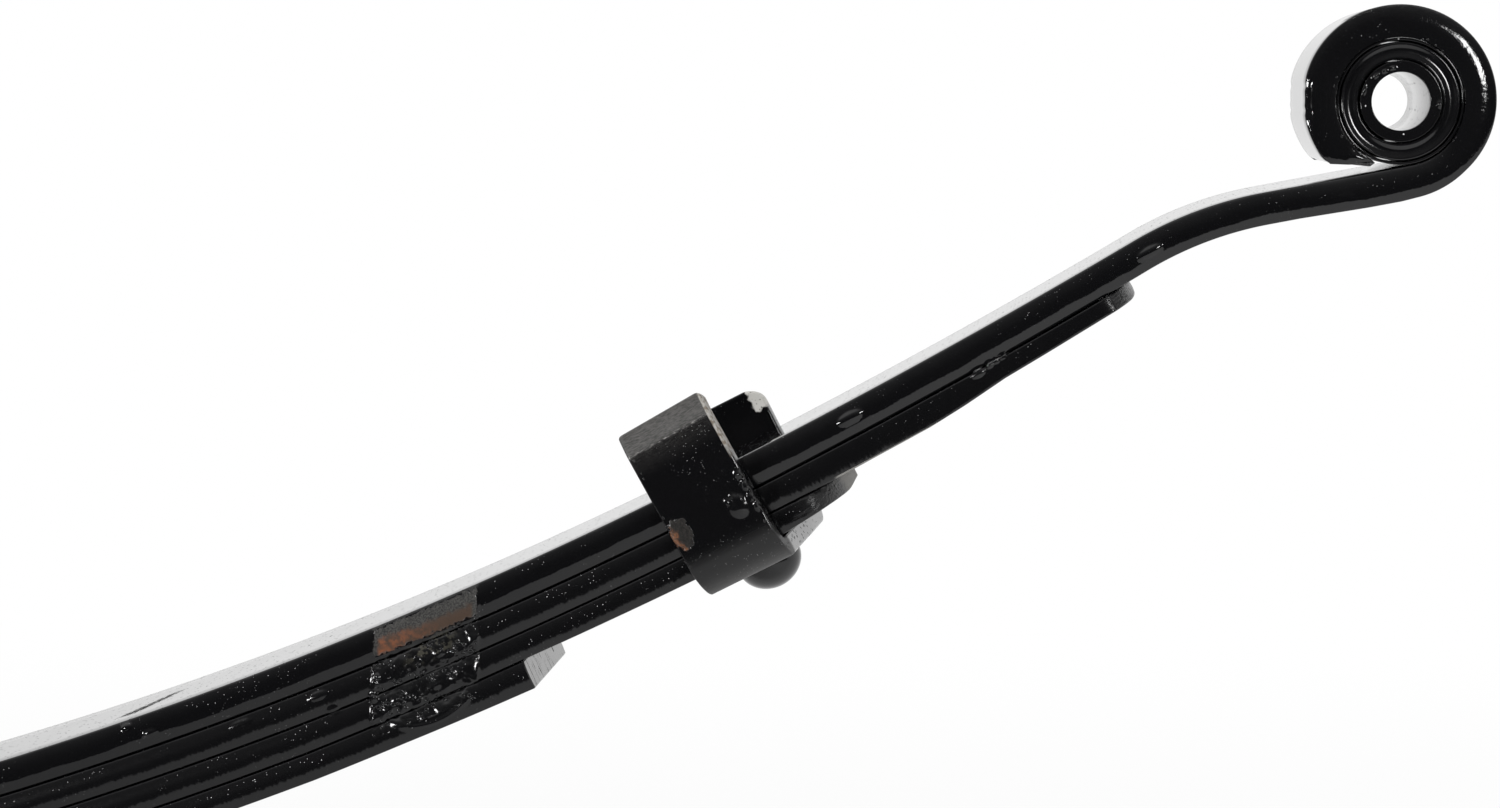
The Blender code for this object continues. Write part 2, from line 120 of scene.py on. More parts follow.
# Rebound clip and its rivet, as in the solids
CLIP_FROM_TIP = 0.030
CLIP_WIDTH = 0.024
CLIP_THICKNESS = 0.005
CLIP_SIDE_GAP = 0.0003
CLIP_SKEW = math.radians(3.9)
CLIP_BEND_RADIUS = 0.0035
CLIP_LEAN = math.radians(18.0)
RIVET_HEAD_HEIGHT = 0.0077
RIVET_CLEARANCE = 0.0003

# Fine shape of the clip: arms as (height, radius of the lean, flat facet above it), uneven tips
NEAR_ARM = (0.0179, 0.0050, 0.0040)
FAR_ARM = (0.0125, 0.0200, 0.0022)
CLIP_BULGE_RADIUS = 0.020
CLIP_CORNER_RADIUS = 0.0006
CLIP_TIP_ROUND = 0.0010
CLIP_NEAR_SLANT = 0.032         # the near arm leans back along the spring
CLIP_NEAR_LEVEL = -0.0040
CLIP_TIP_TILT = 0.055           # the near tip rises towards the eye
CLIP_FAR_SHIFT = 0.0011
CLIP_FAR_BEVEL = 0.42           # the far tip's end face is cut level across the leaning arm
CLIP_BEND_THINNING = 0.0009
CLIP_CORNERS = {-1: (0.0010, 0.0016), 1: (0.0016, 0.0045)}
CLIP_STEP = 0.0006
CLIP_BEND_STEPS = 14
CLIP_LEAN_STEPS = 12
CLIP_TIP_STEPS = 14
RIVET_HEAD_RADIUS = 0.0086
RIVET_OFFSET = 0.0008
RIVET_DOME_STEPS = 24

# Bush in each eye, as in the solids
BUSH_GAP = 0.0003
SHELL_WALL = 0.0007
SHELL_SET_IN = 0.0008
SLEEVE_BORE_RADIUS = 0.00715
SLEEVE_WALL = 0.00275
SLEEVE_STAND_OUT = 0.0012
RUBBER_SET_IN = 0.0006
RUBBER_LIP = 0.0007
RUBBER_DIP = 0.0005             # paint has filled most of the moulded groove
BUSH_STEPS = 120
RUBBER_FACE_STEPS = 36
SLEEVE_FACE_STEPS = 8
SHELL_ROUND = 0.0003
SLEEVE_ROUND = 0.0005
SLEEVE_BEADS = (
    (0.0094, -0.0007, 0.0010, 0.0010, 0.00055),
    (-0.0022, 0.0081, 0.0009, 0.0006, 0.00040),
    (-0.0041, 0.0073, 0.0008, 0.0006, 0.00040),
    (-0.0062, 0.0062, 0.0007, 0.0007, 0.00040),
    (-0.0090, 0.0026, 0.0006, 0.0013, 0.00040),
)

# Centre bolt and nut, as in the solids
BOLT_RADIUS = 0.00475
BOLT_HEAD_RADIUS = 0.008
BOLT_HEAD_HEIGHT = 0.008
BOLT_TAIL = 0.005
NUT_FLAT_RADIUS = 0.00835
NUT_HEIGHT = 0.0082
THREAD_PITCH = 0.00125
THREAD_DEPTH = 0.0006
BOLT_CHAMFER = 0.0008
NUT_CHAMFER = 0.0006
NUT_FACE_SHARE = 0.99           # of the flats, where the cone meets the end faces
NUT_CONE = math.radians(30)
FASTENER_STEPS = 48
NUT_STEPS = 72

HALF_WIDTH = LEAF_WIDTH / 2
LOWER_PITCH = LEAF_THICKNESS + LEAF_GAP
SECOND_TOP = MAIN_THICKNESS + LEAF_GAP
THIRD_TOP = SECOND_TOP + LOWER_PITCH
FOURTH_TOP = THIRD_TOP + LOWER_PITCH
PACK_HEIGHT = FOURTH_TOP + LEAF_THICKNESS
BEND_START = (
    SEAT_HALF_LENGTH
    + INNER_ARC_RADIUS * INNER_ARC_END
    + OUTER_ARC_RADIUS * (OUTER_ARC_END - INNER_ARC_END)
)
BEND_LENGTH = BEND_RADIUS * (OUTER_ARC_END - EYE_APPROACH)
EYE_START = BEND_START + BEND_LENGTH + EYE_STRAIGHT
SECOND_TIP = BEND_START - 0.006
THIRD_TIP = SECOND_TIP - 0.085
FOURTH_TIP = THIRD_TIP - 0.0917
CLIP_DISTANCE = THIRD_TIP - CLIP_FROM_TIP
CLIP_HALF_WIDTH = CLIP_WIDTH / 2
CLIP_FLOOR = -FOURTH_TOP        # inner face of the strip, a gap below the third leaf
CLIP_INSIDE = (
    (HALF_WIDTH + CLIP_SIDE_GAP) / math.cos(CLIP_SKEW)
    + CLIP_HALF_WIDTH * math.tan(CLIP_SKEW)
)

# Leaves with their paint: top and thickness as (distance, value), trimmed tips as (length, narrowing
# of each side), and the stretch where a side turns flatter
LEAVES = {
    "main_leaf": {
        "tip": None, "trim": None,
        "top": ((0.0, 0.0),),
        "thickness": (
            (0.200, 0.0075), (0.380, 0.0084), (0.490, 0.0084), (0.700, 0.0083), (0.735, 0.0081),
            (0.775, 0.0080), (0.792, 0.0084), (0.800, 0.0084), (0.813, 0.0075),
        ),
    },
    "second_leaf": {
        "tip": SECOND_TIP, "trim": (0.0070, 0.0200), "flat": (0.600, 0.680),
        "top": ((0.200, SECOND_TOP), (0.380, 0.0087), (0.490, 0.0087), (0.700, 0.0086), (0.727, 0.0085)),
        "thickness": (
            (0.200, LEAF_THICKNESS), (0.400, 0.0073), (0.490, 0.0073), (0.575, 0.0070), (0.640, 0.0070),
            (0.652, 0.0068), (0.667, 0.0067), (0.677, 0.0061), (0.689, 0.0050), (0.712, 0.0044),
            (0.727, 0.0041),
        ),
    },
    "third_leaf": {
        "tip": THIRD_TIP, "trim": (0.0115, 0.0240),
        "top": ((0.200, THIRD_TOP), (0.400, 0.0163), (0.490, 0.0163), (0.575, 0.0159), (0.642, 0.0159)),
        "thickness": (
            (0.200, LEAF_THICKNESS), (0.490, 0.0071), (0.550, 0.0063), (0.618, 0.0064), (0.635, 0.0049),
            (0.642, 0.0045),
        ),
    },
    "fourth_leaf": {
        "tip": FOURTH_TIP, "trim": None,
        "top": ((0.200, FOURTH_TOP), (0.400, 0.0237), (0.490, 0.0237), (0.550, FOURTH_TOP)),
        "thickness": (
            (0.200, LEAF_THICKNESS), (0.300, 0.0066), (0.450, 0.0069), (0.484, 0.0069), (0.515, 0.0070),
            (0.550, 0.0075),
        ),
    },
}
FOURTH_SEAM = 0.0229            # seam above the fourth leaf, below the bare patch

# Bare patch and thick paint on the near side. Runs hang plumb: lines of equal along + lean * depth
PLUMB_LEAN = math.tan(math.radians(23.5))
PATCH_FROM = 0.5190
PATCH_TO = 0.5475
PATCH_TOP = 0.0008
PATCH_BOTTOM = 0.0069
RUST_TOP = 0.0032               # of the rust at the patch's lower end; it starts deeper further up
RUST_FALL = 0.0008
THICK_BOTTOM = 0.0262
PATCH_SOFT = 0.0006             # how softly the thick paint starts at the patch's ends
RIM_HALF_WIDTH = 0.0006         # beaded rim above the patch
RUN_HALF_WIDTH = 0.0005         # runs down both ends of the patch
LUMP_SCALE = 330.0
FINE_LUMP_SCALE = 800.0
THICK_HEIGHTS = (0.00020, 0.00040)      # even height of the paint, and of the lumps in it
RIM_HEIGHTS = (0.0001, 0.0004)
RUN_HEIGHTS = (0.00022, 0.0003)

# Drips on the near side: along, depth, half length, half height, height of the drop
DRIPS = (
    (0.7353, 0.0043, 0.0040, 0.0014, 0.00075),
    (0.7868, 0.0048, 0.0026, 0.0009, 0.00012),
    (0.7876, 0.0060, 0.0030, 0.0009, 0.00014),
    (0.6505, 0.0037, 0.0038, 0.0015, 0.00075),
    (0.6838, 0.0093, 0.0022, 0.0011, 0.00060),
    (0.6872, 0.0089, 0.0012, 0.0008, 0.00055),
    (0.6892, 0.0087, 0.0010, 0.0008, 0.00055),
    (0.6910, 0.0084, 0.0012, 0.0010, 0.00055),
    (0.5120, 0.0163, 0.0015, 0.0016, 0.00080),
    (0.5150, 0.0118, 0.0008, 0.0011, 0.00050),
    (0.5012, 0.0157, 0.0020, 0.0013, 0.00040),
    (0.4500, 0.0016, 0.0016, 0.0010, 0.00045),
    (0.4553, 0.0050, 0.0022, 0.0011, 0.00050),
    (0.4990, 0.0108, 0.0030, 0.0012, 0.00035),
    (0.4780, 0.0105, 0.0034, 0.0010, 0.00025),
)
DROP_FULLNESS = 0.9
DROP_RIM = (0.5245, 0.0224, 0.0108, 0.0056, 0.00045)    # rim of the large drop under the patch
DROP_RIM_SHARE = 0.10           # width of that rim, as a share of the drop
SCROLL_BEADS = ((321.0, 0.0016), (328.0, 0.0011), (333.0, 0.0019))  # degrees round the eye, depth
SCROLL_BEAD_SIZE = (0.0013, 0.0008, 0.00045)
CLIP_DRIPS = (
    (0.0069, -0.0100, 0.0028, 0.0032, 0.00090),
    (0.0052, -0.0080, 0.0009, 0.0010, 0.00050),
    (0.0070, -0.0075, 0.0007, 0.0012, 0.00050),
    (0.0085, -0.0085, 0.0007, 0.0010, 0.00050),
    (0.0108, -0.0030, 0.0009, 0.0012, 0.00080),
    (0.0109, -0.0062, 0.0008, 0.0016, 0.00080),
    (0.0109, -0.0095, 0.0008, 0.0014, 0.00080),
    (0.0110, -0.0122, 0.0008, 0.0012, 0.00070),
    (0.0086, 0.0100, 0.0012, 0.0010, 0.00030),
)
FREE_DRIPS = 26
FREE_DRIP_SPANS = ((0.12, 0.78), (0.002, 0.026), (0.0016, 0.0042), (0.0008, 0.0014), (0.0002, 0.0004))
SIDE_FACING = (0.3, 0.8)        # normals across the leaf between which relief fades in
SEED = 7


def smooth_step(value, low, high):
    share = np.clip((value - low) / (high - low), 0.0, 1.0)
    return share * share * (3 - 2 * share)


def top_line(distance):
    """Places x, z and slopes on the main leaf's top face, for an array of distances along it."""
    runs = (
        (SEAT_HALF_LENGTH, 0.0),
        (INNER_ARC_RADIUS * INNER_ARC_END, 1 / INNER_ARC_RADIUS),
        (OUTER_ARC_RADIUS * (OUTER_ARC_END - INNER_ARC_END), 1 / OUTER_ARC_RADIUS),
        (BEND_LENGTH, -1 / BEND_RADIUS),
        (EYE_STRAIGHT, 0.0),
    )
    left = np.asarray(distance, float)
    x = np.zeros_like(left)
    z = np.full_like(left, PACK_HEIGHT)
    slope = np.zeros_like(left)
    for length, curvature in runs:
        run = np.clip(left, 0.0, length)
        turned = slope + run * curvature
        if curvature:
            x = x + (np.sin(turned) - np.sin(slope)) / curvature
            z = z + (np.cos(slope) - np.cos(turned)) / curvature
        else:
            x = x + run * np.cos(slope)
            z = z + run * np.sin(slope)
        slope = turned
        left = left - run
    return x, z, slope


def eye_axis():
    x, z, slope = (float(value) for value in top_line(EYE_START))
    return x - EYE_INSIDE_RADIUS * math.sin(slope), z + EYE_INSIDE_RADIUS * math.cos(slope)


EYE_X, EYE_Z = eye_axis()
END_TURN = math.tau - math.acos(EYE_CUT_BELOW_AXIS / (EYE_INSIDE_RADIUS + EYE_GROWTH))


def turned_at(along):
    """How far round the eye a distance along the main leaf lies."""
    return EYE_APPROACH + (along - EYE_START) / EYE_INSIDE_RADIUS


def along_at(turned):
    """The distance along the main leaf that lies so far round the eye."""
    return EYE_START + (turned - EYE_APPROACH) * EYE_INSIDE_RADIUS


NEAR_DRIPS = DRIPS + tuple(
    (along_at(math.radians(turned)), depth, *SCROLL_BEAD_SIZE) for turned, depth in SCROLL_BEADS
)


def eye_opening(turned):
    """How far the scroll has opened from a true circle."""
    return EYE_GROWTH * np.maximum(0.0, (turned - math.pi / 2) / (END_TURN - math.pi / 2))


def on_leaf(along, across, depth):
    """Points in space for unrolled places, rolled up past the start of the eye."""
    x, z, slope = top_line(np.minimum(along, EYE_START))
    flat = np.stack((x + depth * np.sin(slope), across, z - depth * np.cos(slope)), axis=-1)
    turned = turned_at(along)
    radius = EYE_INSIDE_RADIUS + eye_opening(turned) + depth
    rolled = np.stack((EYE_X + radius * np.sin(turned), across, EYE_Z - radius * np.cos(turned)), axis=-1)
    return np.where((along > EYE_START)[..., None], rolled, flat)


def cut_distance(depth):
    """How far along the roll its level cut lies, at a depth in the bar."""
    radius = EYE_INSIDE_RADIUS + EYE_GROWTH + depth
    return along_at(math.tau - np.arccos(np.minimum(1.0, EYE_CUT_BELOW_AXIS / radius)))


def bar_outline(half_width, thickness, bulge, corner, top_steps=TOP_STEPS):
    """Closed sections of a bar for arrays of sizes, from the middle of one side round over the top.

    Gives across, up from the middle and the outward normal, each of shape (rings, points). The
    points below mirror those above.
    """
    half_width = half_width[:, None]
    half = thickness[:, None] / 2
    bulge = bulge[:, None]
    corner_up = half - corner
    reach = np.sqrt((bulge - corner) ** 2 - corner_up ** 2)
    corner_across = half_width - bulge + reach
    side_end = np.arctan2(corner_up, reach)
    side_angle = side_end * np.linspace(0.0, 1.0, SIDE_STEPS + 1)[None, :-1]
    corner_share = np.linspace(0.0, 1.0, CORNER_STEPS + 1)[None, :-1]
    corner_angle = side_end + (math.pi / 2 - side_end) * corner_share
    across = np.concatenate((
        half_width - bulge + bulge * np.cos(side_angle),
        corner_across + corner * np.cos(corner_angle),
    ), axis=1)
    up = np.concatenate((bulge * np.sin(side_angle), corner_up + corner * np.sin(corner_angle)), axis=1)
    angle = np.concatenate((side_angle, corner_angle), axis=1)
    top = corner_across * np.linspace(-1.0, 1.0, top_steps + 1)[None, :]
    upper = (
        np.concatenate((-across, top, across[:, ::-1]), axis=1),
        np.concatenate((up, 0 * top + half, up[:, ::-1]), axis=1),
        np.concatenate((-np.cos(angle), 0 * top, np.cos(angle)[:, ::-1]), axis=1),
        np.concatenate((np.sin(angle), 0 * top + 1, np.sin(angle)[:, ::-1]), axis=1),
    )
    lower = slice(-2, 0, -1)
    return [
        np.concatenate((part, sign * part[:, lower]), axis=1)
        for part, sign in zip(upper, (1, -1, 1, -1))
    ]


def ladder(ring, flip):
    """Faces that close a section, each joining points of its upper half to those below them."""
    count = len(ring)
    faces = []
    for i in range(count // 2):
        loop = [ring[i], ring[i + 1], ring[-(i + 1) % count], ring[-i % count]]
        loop = list(dict.fromkeys(loop))
        faces.append(loop[::-1] if flip else loop)
    return faces


def ring_mesh(name, points, place):
    """Closed mesh through rings of points, of shape (rings, around, 3).

    The place of each point is kept in the mesh, so that materials follow the surface as it bends.
    """
    rings, around, _ = points.shape
    index = np.arange(rings * around).reshape(rings, around)
    following = np.roll(index, -1, axis=1)
    quads = np.stack((index[:-1], following[:-1], following[1:], index[1:]), axis=-1)
    faces = quads.reshape(-1, 4).tolist()
    faces += ladder(index[0].tolist(), True)
    faces += ladder(index[-1].tolist(), False)
    mesh = bpy.data.meshes.new(name)
    mesh.from_pydata(points.reshape(-1, 3).tolist(), [], faces)
    keep_place(mesh, place)
    return mesh


def keep_place(mesh, place):
    attribute = mesh.attributes.new("place", "FLOAT_VECTOR", "POINT")
    attribute.data.foreach_set("vector", np.asarray(place, np.float32).ravel())


def link_object(name, data):
    thing = bpy.data.objects.new(name, data)
    bpy.context.scene.collection.objects.link(thing)
    return thing


def add_piece(name, mesh, material):
    mesh.shade_smooth()
    mesh.set_sharp_from_angle(angle=SHARP_ANGLE)
    mesh.materials.append(material)
    return link_object(name, mesh)


def grain(places, scale, seed):
    """Smooth noise from -1 to 1 at an array of places."""
    flat = places.reshape(-1, 3) * scale + seed
    values = [noise.noise(Vector(place)) for place in flat]
    return np.array(values).reshape(places.shape[:-1])


def ring_distances(end, zones, drips):
    """Distances of the rings along a leaf, close together where the photograph shows it."""
    zones = [zone for zone in zones if zone[0] < end]
    stops = [start for start, _ in zones[1:]] + [end]
    runs = []
    for (start, spacing), stop in zip(zones, stops):
        count = max(1, round((stop - start) / spacing))
        runs.append(np.linspace(start, stop, count, endpoint=False))
    for at_along, _, half_length, _, _ in drips:
        reach = DRIP_REACH * half_length
        runs.append(np.arange(at_along - reach, min(at_along + reach, end), DRIP_RING))
    distances = np.sort(np.concatenate(runs))
    apart = np.diff(distances, prepend=-1.0) > DRIP_RING / 2
    return np.append(distances[apart & (distances < end - DRIP_RING / 2)], end)


def drop(along, depth, mark):
    """Height of a rounded drop of paint."""
    at_along, at_depth, half_length, half_height, height = mark
    away = ((along - at_along) / half_length) ** 2 + ((depth - at_depth) / half_height) ** 2
    return height * np.clip(1 - away, 0.0, None) ** DROP_FULLNESS


def free_drips(seed):
    """Drips for the sides that the photograph doesn't show."""
    source = random.Random(seed)
    return [tuple(source.uniform(*span) for span in FREE_DRIP_SPANS) for _ in range(FREE_DRIPS)]


def drops(along, depth, marks):
    return sum(drop(along, depth, mark) for mark in marks)


def ridge(value, middle, half_width):
    return np.exp(-((value - middle) / half_width) ** 2)


def near_relief(along, depth):
    """Paint standing on the near side of the front half, where the photograph shows drips and runs."""
    at_along, at_depth, half_length, half_height, height = DROP_RIM
    away = np.hypot((along - at_along) / half_length, (depth - at_depth) / half_height)
    on_fourth = depth > FOURTH_SEAM
    amount = drops(along, depth, NEAR_DRIPS) + height * ridge(away, 1, DROP_RIM_SHARE) * on_fourth

    plumb = along + PLUMB_LEAN * depth
    zone = smooth_step(plumb, PATCH_FROM - PATCH_SOFT, PATCH_FROM)
    zone = zone * smooth_step(-plumb, -PATCH_TO - PATCH_SOFT, -PATCH_TO)
    thick = zone * smooth_step(depth, MAIN_THICKNESS - 0.0010, MAIN_THICKNESS - 0.0003)
    thick = thick * (depth < THICK_BOTTOM)
    thick = np.where(on_fourth, thick * smooth_step(1 - away, 0.0, 0.15), thick)
    rim = zone * ridge(depth, PATCH_TOP, RIM_HALF_WIDTH)
    runs = ridge(plumb, PATCH_FROM, RUN_HALF_WIDTH) * (depth > MAIN_THICKNESS)
    runs = (runs + ridge(plumb, PATCH_TO, RUN_HALF_WIDTH)) * (depth < FOURTH_SEAM)
    work = (thick + rim + runs) > 0.001
    places = np.stack((along, 0 * along, depth), axis=-1)[work]
    lumps = np.zeros_like(along)
    lumps[work] = grain(places, LUMP_SCALE, 3.0) + 0.4 * grain(places, FINE_LUMP_SCALE, 9.0)
    amount = amount + thick * (THICK_HEIGHTS[0] + THICK_HEIGHTS[1] * lumps)
    amount = amount + rim * (RIM_HEIGHTS[0] + RIM_HEIGHTS[1] * np.abs(lumps))
    return amount + runs * (RUN_HEIGHTS[0] + RUN_HEIGHTS[1] * lumps)


def eye_dents(along, below):
    """Flat spot that a tool has left on the back of the scroll, with three notches across it."""
    away = (turned_at(along) - DENT_TURN) * (EYE_INSIDE_RADIUS + MAIN_THICKNESS)
    spot = DENT_DEPTH * np.clip(1 - (away / DENT_HALF_LENGTH) ** 2, 0.0, None) ** 2
    for notch in NOTCHES:
        spot = spot + NOTCH_DEPTH * ridge(away, notch, NOTCH_HALF_WIDTH)
    return spot * (below > MAIN_THICKNESS * 0.7)


def quarter_round(to_end, reach, radius):
    """How far an edge with a rounded corner has drawn in, at a distance from the end."""
    return radius * (1 - np.sqrt(1 - np.clip(1 - to_end / reach, 0.0, 1.0) ** 2))


def leaf_rings(leaf, front, last):
    """Rings of a half leaf: distances along it, half widths, thicknesses and depths of their middles."""
    tip, trim = leaf["tip"], leaf["trim"]
    full = LEAF_THICKNESS if tip else MAIN_THICKNESS
    square_end = last - trim[0] if trim else last
    tops = np.array(leaf["top"]).T
    drips = [
        mark for mark in NEAR_DRIPS
        if front and mark[0] < square_end and 0 <= mark[1] - np.interp(mark[0], *tops) < full
    ]
    along = ring_distances(square_end, FRONT_RINGS if front else REAR_RINGS, drips)
    if tip and not trim:
        along = np.concatenate((along[:-1], (last - SHEAR_ROUND, last)))
    half_width = np.full_like(along, HALF_WIDTH)
    if trim:
        turn = np.linspace(0.0, math.pi / 2, TRIM_STEPS + 1)[1:]
        along = np.concatenate((along, square_end + trim[0] * np.sin(turn)))
        half_width = np.concatenate((half_width, HALF_WIDTH - trim[1] * (1 - np.cos(turn))))
    thickness = np.interp(along, *np.array(leaf["thickness"]).T)
    if not tip:
        thickness -= SCROLL_THINNING * smooth_step(along, last - SCROLL_THIN_LENGTH, last)
    middle = thickness / 2
    if trim:
        thickness = thickness - 2 * quarter_round(tip - along, TIP_ROUND_LENGTH, TIP_ROUND)
    return along, half_width, thickness, middle


def make_leaf(name, leaf, end, material):
    """One half of a leaf, from the centre bolt to its tip or its eye."""
    front = end == "front"
    is_main = leaf["tip"] is None
    last = float(cut_distance(np.array(MAIN_THICKNESS))) if is_main else leaf["tip"]
    along, half_width, thickness, middle = leaf_rings(leaf, front, last)
    bulge = np.full_like(along, SIDE_BULGE_RADIUS)
    if "flat" in leaf:
        bulge += (FLAT_BULGE_RADIUS - SIDE_BULGE_RADIUS) * smooth_step(along, *leaf["flat"])

    across, up, normal_across, normal_up = bar_outline(half_width, thickness, bulge, SIDE_CORNER_RADIUS)
    below = middle[:, None] - up
    distance = np.repeat(along[:, None], across.shape[1], axis=1)
    relief = np.zeros_like(across)
    if is_main:
        rolled = smooth_step(turned_at(along), *EYE_SQUARED_TURN)[:, None]
        filled = INNER_EDGE_FILL * rolled * smooth_step(up, 0.0, 0.001)
        filled = filled * np.clip(2 * np.abs(normal_across), 0.0, 1.0)
        across = across + filled * (np.sign(across) * half_width[:, None] - across)
        level_from = last - SCROLL_SKEW_LENGTH
        share = np.clip((along - level_from) / SCROLL_SKEW_LENGTH, 0.0, 1.0)[:, None]
        distance = np.where(share > 0, level_from + share * (cut_distance(below) - level_from), distance)
        rise = np.linspace(0.0, 1.0, SCROLL_ROUND_STEPS + 1)[1:]
        relief[-SCROLL_ROUND_STEPS:] = -SCROLL_ROUND * (1 - np.sqrt(1 - rise ** 2))[:, None]
    elif not leaf["trim"]:
        relief[-1] = -SHEAR_ROUND
    hole = np.sqrt(np.maximum(0.0, BOLT_HOLE_RADIUS ** 2 - across[0] ** 2))
    clear = np.arange(3)[:, None] * PLAIN_RING / 4
    distance[:3] = np.maximum(distance[:3], hole + clear * (hole > 0))

    depth = np.interp(along, *np.array(leaf["top"]).T)[:, None] + below
    near = smooth_step(-normal_across, *SIDE_FACING)
    far = smooth_step(normal_across, *SIDE_FACING)
    if front:
        relief = relief + near * near_relief(distance, depth)
        if is_main:
            relief = relief - eye_dents(distance, below)
    else:
        relief = relief + near * drops(distance, depth, free_drips(SEED))
    relief = relief + far * drops(distance, depth, free_drips(SEED + len(end)))
    across = across + relief * normal_across
    depth = depth - relief * normal_up
    if is_main:
        turned = turned_at(distance)
        gap = eye_opening(turned) + 0.8 * BUSH_GAP
        filled = smooth_step(turned, *EYE_FILLED_TURN)
        filled = filled * smooth_step(np.abs(across), HALF_WIDTH - EYE_FILL_DEPTH, HALF_WIDTH - 0.001)
        depth = depth - gap * filled * smooth_step(up, 0.0, 0.003)

    place = np.stack((distance + (0.0 if front else REAR_SHIFT), across, depth), axis=-1)
    mesh = ring_mesh(name, on_leaf(distance, across, depth), place)
    if not front:
        mesh.transform(Matrix.Rotation(math.pi, 4, "Z"))
    return add_piece(name, mesh, material)


def make_leaves(material):
    for node, leaf in LEAVES.items():
        for end, side in (("front", 1), ("rear", -1)):
            piece = make_leaf(f"{node}_{end}_half", leaf, end, material)
            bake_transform(piece)
            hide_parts(node)


def clip_half_path(height, lean_radius, facet):
    """Rows (across, up, heading) on the inner face of half the clip, from its middle to the arm's tip."""
    quarter = math.pi / 2
    flat_end = CLIP_INSIDE - CLIP_BEND_RADIUS
    lean_start = height - lean_radius * math.sin(CLIP_LEAN) - facet * math.cos(CLIP_LEAN)
    rows = [(across, CLIP_FLOOR, 0.0) for across in np.arange(0.0, flat_end, 2 * CLIP_STEP)]
    for i in range(CLIP_BEND_STEPS + 1):
        heading = quarter * i / CLIP_BEND_STEPS
        across = flat_end + CLIP_BEND_RADIUS * math.sin(heading)
        rows.append((across, CLIP_FLOOR + CLIP_BEND_RADIUS * (1 - math.cos(heading)), heading))
    upright = np.arange(rows[-1][1] + CLIP_STEP, lean_start, CLIP_STEP)
    rows += [(CLIP_INSIDE, up, quarter) for up in upright]
    for i in range(1, CLIP_LEAN_STEPS + 1):
        lean = CLIP_LEAN * i / CLIP_LEAN_STEPS
        across = CLIP_INSIDE - lean_radius * (1 - math.cos(lean))
        rows.append((across, lean_start + lean_radius * math.sin(lean), quarter + lean))
    across, up, heading = rows[-1]
    for i in range(1, CLIP_TIP_STEPS + 1):
        step = facet * math.sin(quarter * i / CLIP_TIP_STEPS)
        rows.append((across - step * math.sin(CLIP_LEAN), up + step * math.cos(CLIP_LEAN), heading))
    return np.array(rows)


def make_clip_mesh(name, front):
    """Clip in its own frame: X along the leaf, Y across it, Z up from the main leaf's top face."""
    near = clip_half_path(*NEAR_ARM)
    far = clip_half_path(*FAR_ARM)
    rows = np.concatenate((near[::-1], far[1:]))
    inner, floor, heading = rows.T[:, :, None]
    side = np.concatenate((-np.ones(len(near)), np.ones(len(far) - 1)))[:, None]
    steps = np.hypot(np.diff(side * inner, axis=0), np.diff(floor, axis=0))
    path = np.concatenate(((0.0,), np.cumsum(steps)))
    to_end = np.minimum(path, path[-1] - path)[:, None]

    thickness = CLIP_THICKNESS - 2 * quarter_round(to_end[:, 0], CLIP_TIP_ROUND, CLIP_TIP_ROUND)
    across, up, _, normal_up = bar_outline(
        np.full_like(path, CLIP_HALF_WIDTH), thickness, np.full_like(path, CLIP_BULGE_RADIUS),
        CLIP_CORNER_RADIUS, CLIP_TOP_STEPS,
    )
    drawn_in = np.zeros_like(across)
    for arm_side, radii in CLIP_CORNERS.items():
        for sign, radius in zip((-1, 1), radii):
            edge = (side == arm_side) & (np.sign(across) == sign)
            drawn_in = drawn_in + edge * quarter_round(to_end, radius, radius)
    along = across * (1 - drawn_in / CLIP_HALF_WIDTH)
    bend = np.where(side < 0, np.sin(2 * np.clip(heading, 0.0, math.pi / 2)), 0.0)
    out = CLIP_THICKNESS / 2 + up
    out = out - CLIP_BEND_THINNING * bend * np.clip(out / CLIP_THICKNESS, 0.0, 1.0)
    if front:
        on_arm = (side < 0) * smooth_step(normal_up, 0.3, 0.9) * smooth_step(heading, 1.2, 1.5)
        out = out + on_arm * drops(along, floor - out * np.cos(heading), CLIP_DRIPS)
    y = side * (inner + out * np.sin(heading))
    z = floor - out * np.cos(heading)
    z = z - CLIP_FAR_BEVEL * out * ((side > 0) * smooth_step(to_end, 0.008, 0.001))
    z = z + CLIP_TIP_TILT * along * smooth_step(z, 0.004, 0.015) * (side < 0)
    share = smooth_step(y, -0.5 * CLIP_INSIDE, 0.5 * CLIP_INSIDE)
    along = along + (1 - share) * CLIP_NEAR_SLANT * (CLIP_NEAR_LEVEL - z) + share * CLIP_FAR_SHIFT
    points = np.stack((along, y, z), axis=-1)
    return ring_mesh(name, points, points + np.array((0.0 if front else REAR_SHIFT, 0.0, 0.0)))


def turned_mesh(name, radius, height, closed):
    """Mesh about Z through rings of radii and heights, closed on itself or on the axis."""
    angle = np.linspace(0.0, math.tau, radius.shape[1], endpoint=False)
    points = np.stack((radius * np.cos(angle), radius * np.sin(angle), height), axis=-1)
    index = np.arange(radius.size).reshape(radius.shape)
    beside = np.roll(index, -1, axis=1)
    faces = np.stack((index, beside, np.roll(beside, -1, axis=0), np.roll(index, -1, axis=0)), axis=-1)
    if not closed:
        faces = faces[:-1]
    mesh = bpy.data.meshes.new(name)
    mesh.from_pydata(points.reshape(-1, 3).tolist(), [], faces.reshape(-1, 4).tolist())
    bm = bmesh.new()
    bm.from_mesh(mesh)
    bmesh.ops.remove_doubles(bm, verts=bm.verts, dist=1e-6)
    bmesh.ops.recalc_face_normals(bm, faces=bm.faces)
    bm.to_mesh(mesh)
    bm.free()
    keep_place(mesh, [tuple(vertex.co) for vertex in mesh.vertices])
    return mesh


